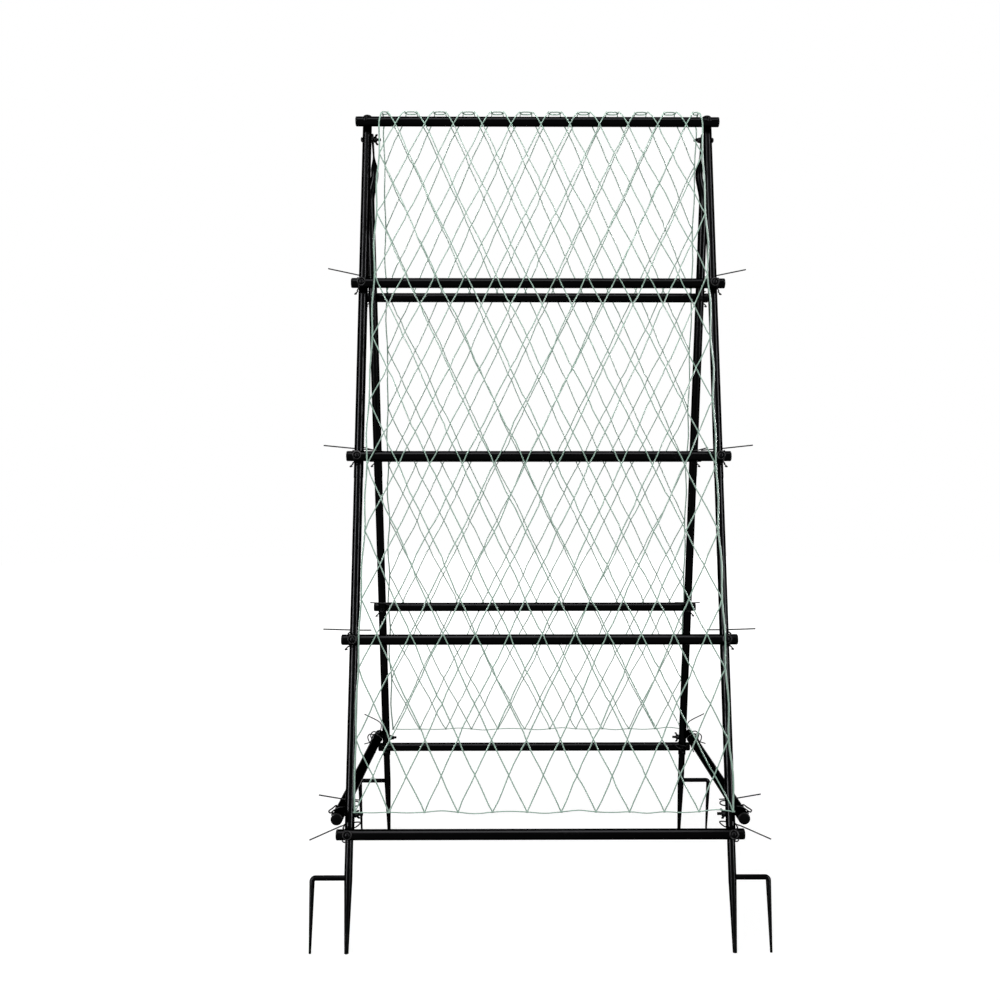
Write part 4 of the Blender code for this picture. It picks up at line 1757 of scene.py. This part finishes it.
@dataclass
class WireTies:
    """Thin wire lashed round the crossings, with a long loose tail outwards and a small curl inwards.

    Points are in millimetres. At a crossbar X runs outwards along the bar, -Y out of the panel and Z up the
    upright, from the middle of the upright. At a brace X runs outwards, Y to the back and Z up.
    """

    palette: Palette
    plan: Plan = PLAN
    wire_radius: float = 0.00103
    bolt_turn_radius: float = 6.1
    bolt_turn_start: float = 62.0
    bolt_turn_steps: int = 17
    bolt_turn_degrees: float = 28.0
    tail_stray: float = 1.2
    back_tail_share: float = 0.42
    # fmt: off
    across: tuple[tuple[Point, ...], ...] = (
        ((-10.0, 6.0, 19.5), (0.0, 8.6, 21.0), (58.0, 7.0, 33.0)),
        ((-25.6, 6.0, 14.3), (0.0, 8.6, 16.9), (57.0, 7.0, 22.8)),
        ((-24.8, 6.0, 15.7), (0.0, 8.2, 15.9), (50.0, 7.0, 16.8)),
        (
            (0.0, 8.2, 7.5), (-7.5, 8.0, 7.9), (-15.1, 7.0, 14.7), (-7.5, 8.4, 15.2), (0.0, 8.2, 13.5),
            (7.5, 6.5, 11.5), (11.0, -2.0, 11.0), (16.5, -8.0, 9.3), (57.5, -8.0, -8.8),
        ),
    )
    down: tuple[Point, ...] = ((8.6, 5.0, 12.5), (8.0, -3.0, 10.8), (7.6, -10.0, 9.6), (7.4, -15.0, 9.1))
    hook: tuple[Point, ...] = (
        (4.0, -20.4, -9.0), (6.4, -15.0, -10.2), (8.4, -9.0, -10.3), (8.8, -3.0, -9.8), (13.0, -4.0, -14.3),
        (9.4, -5.0, -14.0),
    )
    curl: tuple[Point, ...] = ((1.0, -23.4, -8.0), (4.5, -22.0, -9.9), (7.5, -20.0, -7.9))
    brace_front: tuple[tuple[Point, ...], ...] = (
        ((-14.4, 12.2, 17.7), (10.0, 12.2, 19.0), (48.0, 12.2, 25.5)),
        (
            (0.0, 11.8, 15.5), (-8.7, 11.6, 15.8), (-13.0, 11.4, 13.7), (-12.4, 11.2, 10.8),
            (-7.0, 10.8, 8.8), (2.0, 10.2, 8.5), (8.5, 5.0, 9.4), (16.1, 2.0, 9.9), (24.3, 3.0, 5.2),
            (25.2, -5.0, 5.7),
            (26.9, -14.0, 6.7), (29.4, -10.0, 8.3), (27.0, 8.0, 6.8), (24.3, 27.0, 5.1), (25.2, 25.0, -3.3),
            (16.1, 24.0, -9.8), (6.4, 20.0, 0.0), (8.6, 15.0, 5.9),
        ),
    )
    brace_rear: tuple[tuple[Point, ...], ...] = (
        (
            (26.0, 7.0, 43.0), (-2.5, 5.5, 28.5), (-6.0, 3.0, 18.0), (-2.0, -3.0, 9.6), (7.8, -6.0, 6.1),
            (9.3, -10.0, -3.1), (0.0, -13.0, -9.8), (-9.8, -15.0, 0.0), (0.0, -17.0, 9.8),
            (8.5, -10.0, 8.0), (13.5, -16.0, 10.0), (14.5, -34.0, 9.0), (9.5, -47.0, 3.0),
            (6.0, -44.0, 7.5), (10.0, -28.0, 11.0), (7.0, -15.0, 14.5), (-1.0, -9.0, 12.0),
        ),
        ((4.0, -50.0, 8.6), (8.4, -52.0, 3.5), (18.5, -54.0, 1.0)),
    )
    # fmt: on
    seed: int = 23

    def bolt_turns(self, radius: float) -> list[Vector]:
        """The wire's turns round a bolt's head, lying on the bar's front, the later ones on the first.

        Args:
            radius: Radius of the upright.

        Returns:
            Their points.
        """
        out = radius + (self.plan.seat_gap + self.plan.bar_radius) * 1000.0
        reach = (self.plan.bar_radius + self.wire_radius) * 1000.0
        points = []
        for step in range(self.bolt_turn_steps):
            turn = math.radians(self.bolt_turn_start - self.bolt_turn_degrees * step)
            x, z = self.bolt_turn_radius * math.cos(turn), self.bolt_turn_radius * math.sin(turn)
            over = self.wire_radius * 2000.0 * min(max((step - 9) / 4.0, 0.0), 1.0)
            points.append(Vector((x, -out - math.sqrt(reach * reach - z * z) - over, z)))
        return points

    def crossing_ties(self) -> None:
        """A tie at each end of both panels' ladder bars: a wire across, and one wound round the bolt."""
        chance = random.Random(self.seed)
        for panel in Panel:
            for number, across in zip(self.plan.bar_numbers, self.across):
                drop = self.plan.bar_drop(number)
                end = self.curl if number == self.plan.bar_numbers[-1] else self.hook
                wound = [*self.down, *self.bolt_turns(self.plan.upright_radius(drop) * 1000.0), *end]
                for side in Side:
                    tail = Vector(across[-1])
                    tail += Vector([chance.uniform(-self.tail_stray, self.tail_stray) for _ in range(3)])
                    if panel is Panel.BACK:
                        tail.x *= self.back_tail_share
                    x = self.plan.local_x(panel, side)
                    size = Matrix.Diagonal((math.copysign(0.001, x), 0.001, 0.001, 1.0))
                    name = f"{panel.value}_crossbar_{number}_{side.label}_tie"
                    place = self.plan.at(panel, x, 0.0, drop) @ size
                    self.finish(name, [(*across[:-1], tail), wound], place, panel.body)

    def brace_ties(self) -> None:
        """A tie at each end of the braces. The rear one is wound round the brace only, and moves with it."""
        plan = self.plan
        for side in Side:
            s, name = side.value, side.label + "_brace"
            size = Matrix.Diagonal((s * 0.001, 0.001, 0.001, 1.0))
            for end, lines, x, y, body in (
                ("front", self.brace_front, plan.half_span, -plan.brace_y, Panel.FRONT.body),
                ("rear", self.brace_rear, plan.brace_x, plan.brace_y, name),
            ):
                place = Matrix.Translation((s * x, y, plan.brace_height)) @ size
                self.finish(f"{name}_{end}_tie", lines, place, body)

    def finish(self, name: str, lines: Iterable[Sequence[Point | Vector]], place: Matrix, body: str) -> None:
        """Makes one tie.

        Args:
            name: Its name.
            lines: Points of its wires.
            place: Matrix from their axes to the shared frame.
            body: CAD body that it moves with.
        """
        maker = CordMaker(self.wire_radius, rings=2)
        for line in lines:
            placed = [place @ Vector(point) for point in line]
            maker.add(flowing(placed, 4) if len(placed) > 3 else placed)
        Bench.issue(Bench.paint(maker.make(name), self.palette.wire), body, Slot.STEEL)

    def build(self) -> None:
        """Makes all ties."""
        self.crossing_ties()
        self.brace_ties()


@dataclass(frozen=True)
class Softbox:
    """A soft rectangular lamp: its place, the point it looks at, its size and its power in watts.

    A gleam lamp only draws highlights on gloss, and leaves the plain level of light as it is.
    """

    name: str
    place: Point
    aim: Point
    width: float
    height: float
    power: float
    gleam: bool = True

    def put_up(self) -> None:
        """Puts the lamp up."""
        data = bpy.data.lights.new(self.name, "AREA")
        data.shape = "RECTANGLE"
        data.size = self.width
        data.size_y = self.height
        data.energy = self.power
        lamp = bpy.data.objects.new(self.name, data)
        lamp.location = self.place
        way = Vector(self.aim) - Vector(self.place)
        lamp.rotation_euler = way.to_track_quat("-Z", "Y").to_euler()
        lamp.visible_camera = False
        lamp.visible_diffuse = not self.gleam
        bpy.context.scene.collection.objects.link(lamp)


@dataclass
class Studio:
    """Camera, floor, world and lamps."""

    camera_place: Point = (-0.0388, -1.8568, 0.7071)
    camera_pitch: float = -1.744
    camera_yaw: float = -0.402
    lens: float = 39.725
    shift: float = -0.02185
    sensor: float = 36.0
    clip_start: float = 0.05
    floor_radius: float = 7.0
    floor_colour: Colour = (0.40, 0.40, 0.40)
    floor_glow: Pair = (0.75, 1.0)
    glow_reach: Pair = (0.9, 2.6)
    ambient: float = 0.55
    lamps: tuple[Softbox, ...] = (
        Softbox("key", (-1.10, -1.60, 3.20), (0.0, 0.0, 0.65), 2.2, 2.2, 45.0, gleam=False),
        Softbox("left_strip", (-3.47, -3.60, 2.10), (0.0, 0.0, 2.10), 0.75, 5.8, 2000.0),
        Softbox("right_strip", (3.83, -3.21, 2.10), (0.0, 0.0, 2.10), 0.70, 5.8, 1800.0),
        Softbox("overhead", (0.0, -0.80, 3.30), (0.0, -0.80, 0.0), 1.6, 2.4, 330.0),
        Softbox("rear_left_strip", (-3.60, 3.47, 2.10), (0.0, 0.0, 2.10), 0.65, 5.8, 900.0),
        Softbox("rear_right_strip", (3.60, 3.47, 2.10), (0.0, 0.0, 2.10), 0.65, 5.8, 900.0),
    )

    def camera(self) -> None:
        """The camera at the photograph's view."""
        data = bpy.data.cameras.new("photo_camera")
        data.sensor_width = self.sensor
        data.lens = self.lens
        data.shift_x = self.shift
        data.clip_start = self.clip_start
        cam = bpy.data.objects.new("photo_camera", data)
        cam.location = self.camera_place
        cam.rotation_euler = (math.radians(90.0 + self.camera_pitch), 0.0, math.radians(self.camera_yaw))
        bpy.context.scene.collection.objects.link(cam)
        bpy.context.scene.camera = cam

    @staticmethod
    def seen_white(nodes: Nodes) -> Any:
        """Adds the share of rays that see the plain white background.

        Args:
            nodes: The node tree to add it to.

        Returns:
            1 for camera, glossy and transmission rays, and 0 for others.
        """
        rays = nodes.add("LightPath").outputs
        share = nodes.maths("MAXIMUM", rays["Is Camera Ray"], rays["Is Glossy Ray"])
        return nodes.maths("MAXIMUM", share, rays["Is Transmission Ray"])

    def floor(self) -> None:
        """A pale round floor that keeps the shadow and is otherwise as white as the background."""
        Bench.clear()
        bpy.ops.mesh.primitive_circle_add(vertices=96, radius=self.floor_radius, fill_type="NGON")
        floor = bpy.context.object
        floor.name = "studio_floor"
        material = bpy.data.materials.new("pale_floor")
        material.use_nodes = True
        nodes = Nodes(material.node_tree)
        nodes.tree.nodes.clear()
        away = nodes.add("VectorMath", "Value", {0: nodes.add("TexCoord", "Object")}, operation="LENGTH")
        level = nodes.spread(away, self.glow_reach, self.floor_glow, interpolation_type="SMOOTHSTEP")
        strength = nodes.maths("MULTIPLY", self.seen_white(nodes), level)
        diffuse = nodes.add("BsdfDiffuse", "BSDF", {"Color": self.floor_colour})
        glow = nodes.add("Emission", "Emission", {"Strength": strength})
        nodes.add("OutputMaterial", inputs={"Surface": nodes.add("AddShader", 0, {0: diffuse, 1: glow})})
        floor.data.materials.append(material)
        floor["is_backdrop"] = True

    def world(self) -> None:
        """A white background that lights the trellis evenly and softly."""
        world = bpy.data.worlds.new("studio_world")
        bpy.context.scene.world = world
        world.use_nodes = True
        nodes = Nodes(world.node_tree)
        nodes.tree.nodes.clear()
        level = nodes.spread(self.seen_white(nodes), UNIT, (self.ambient, 1.0))
        background = nodes.add("Background", 0, {"Color": (1.0, 1.0, 1.0), "Strength": level})
        nodes.add("OutputWorld", inputs={"Surface": background})

    def build(self) -> None:
        """Sets the studio up."""
        self.camera()
        self.floor()
        self.world()
        for lamp in self.lamps:
            lamp.put_up()
        bpy.context.scene.view_settings.view_transform = "Standard"
        log.info("studio: camera, floor, world and %d lamps", len(self.lamps))


def write_sizes() -> None:
    """Works out the CAD's box and the finished model's box."""
    boxes = {"cad": cad_box, "visual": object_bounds()}
    plain = {key: [list(corner) for corner in box] for key, box in boxes.items()}


def main() -> None:
    """Builds every group of pieces in order."""
    logging.basicConfig(level=logging.INFO, format="%(name)s: %(message)s")
    Studio().build()
    palette = Palette()
    for group in (Tubes, StakeFeet, Fastenings, DiamondNet, WireTies):
        group(palette).build()
    write_sizes()


if __name__ == "__main__":
    main()
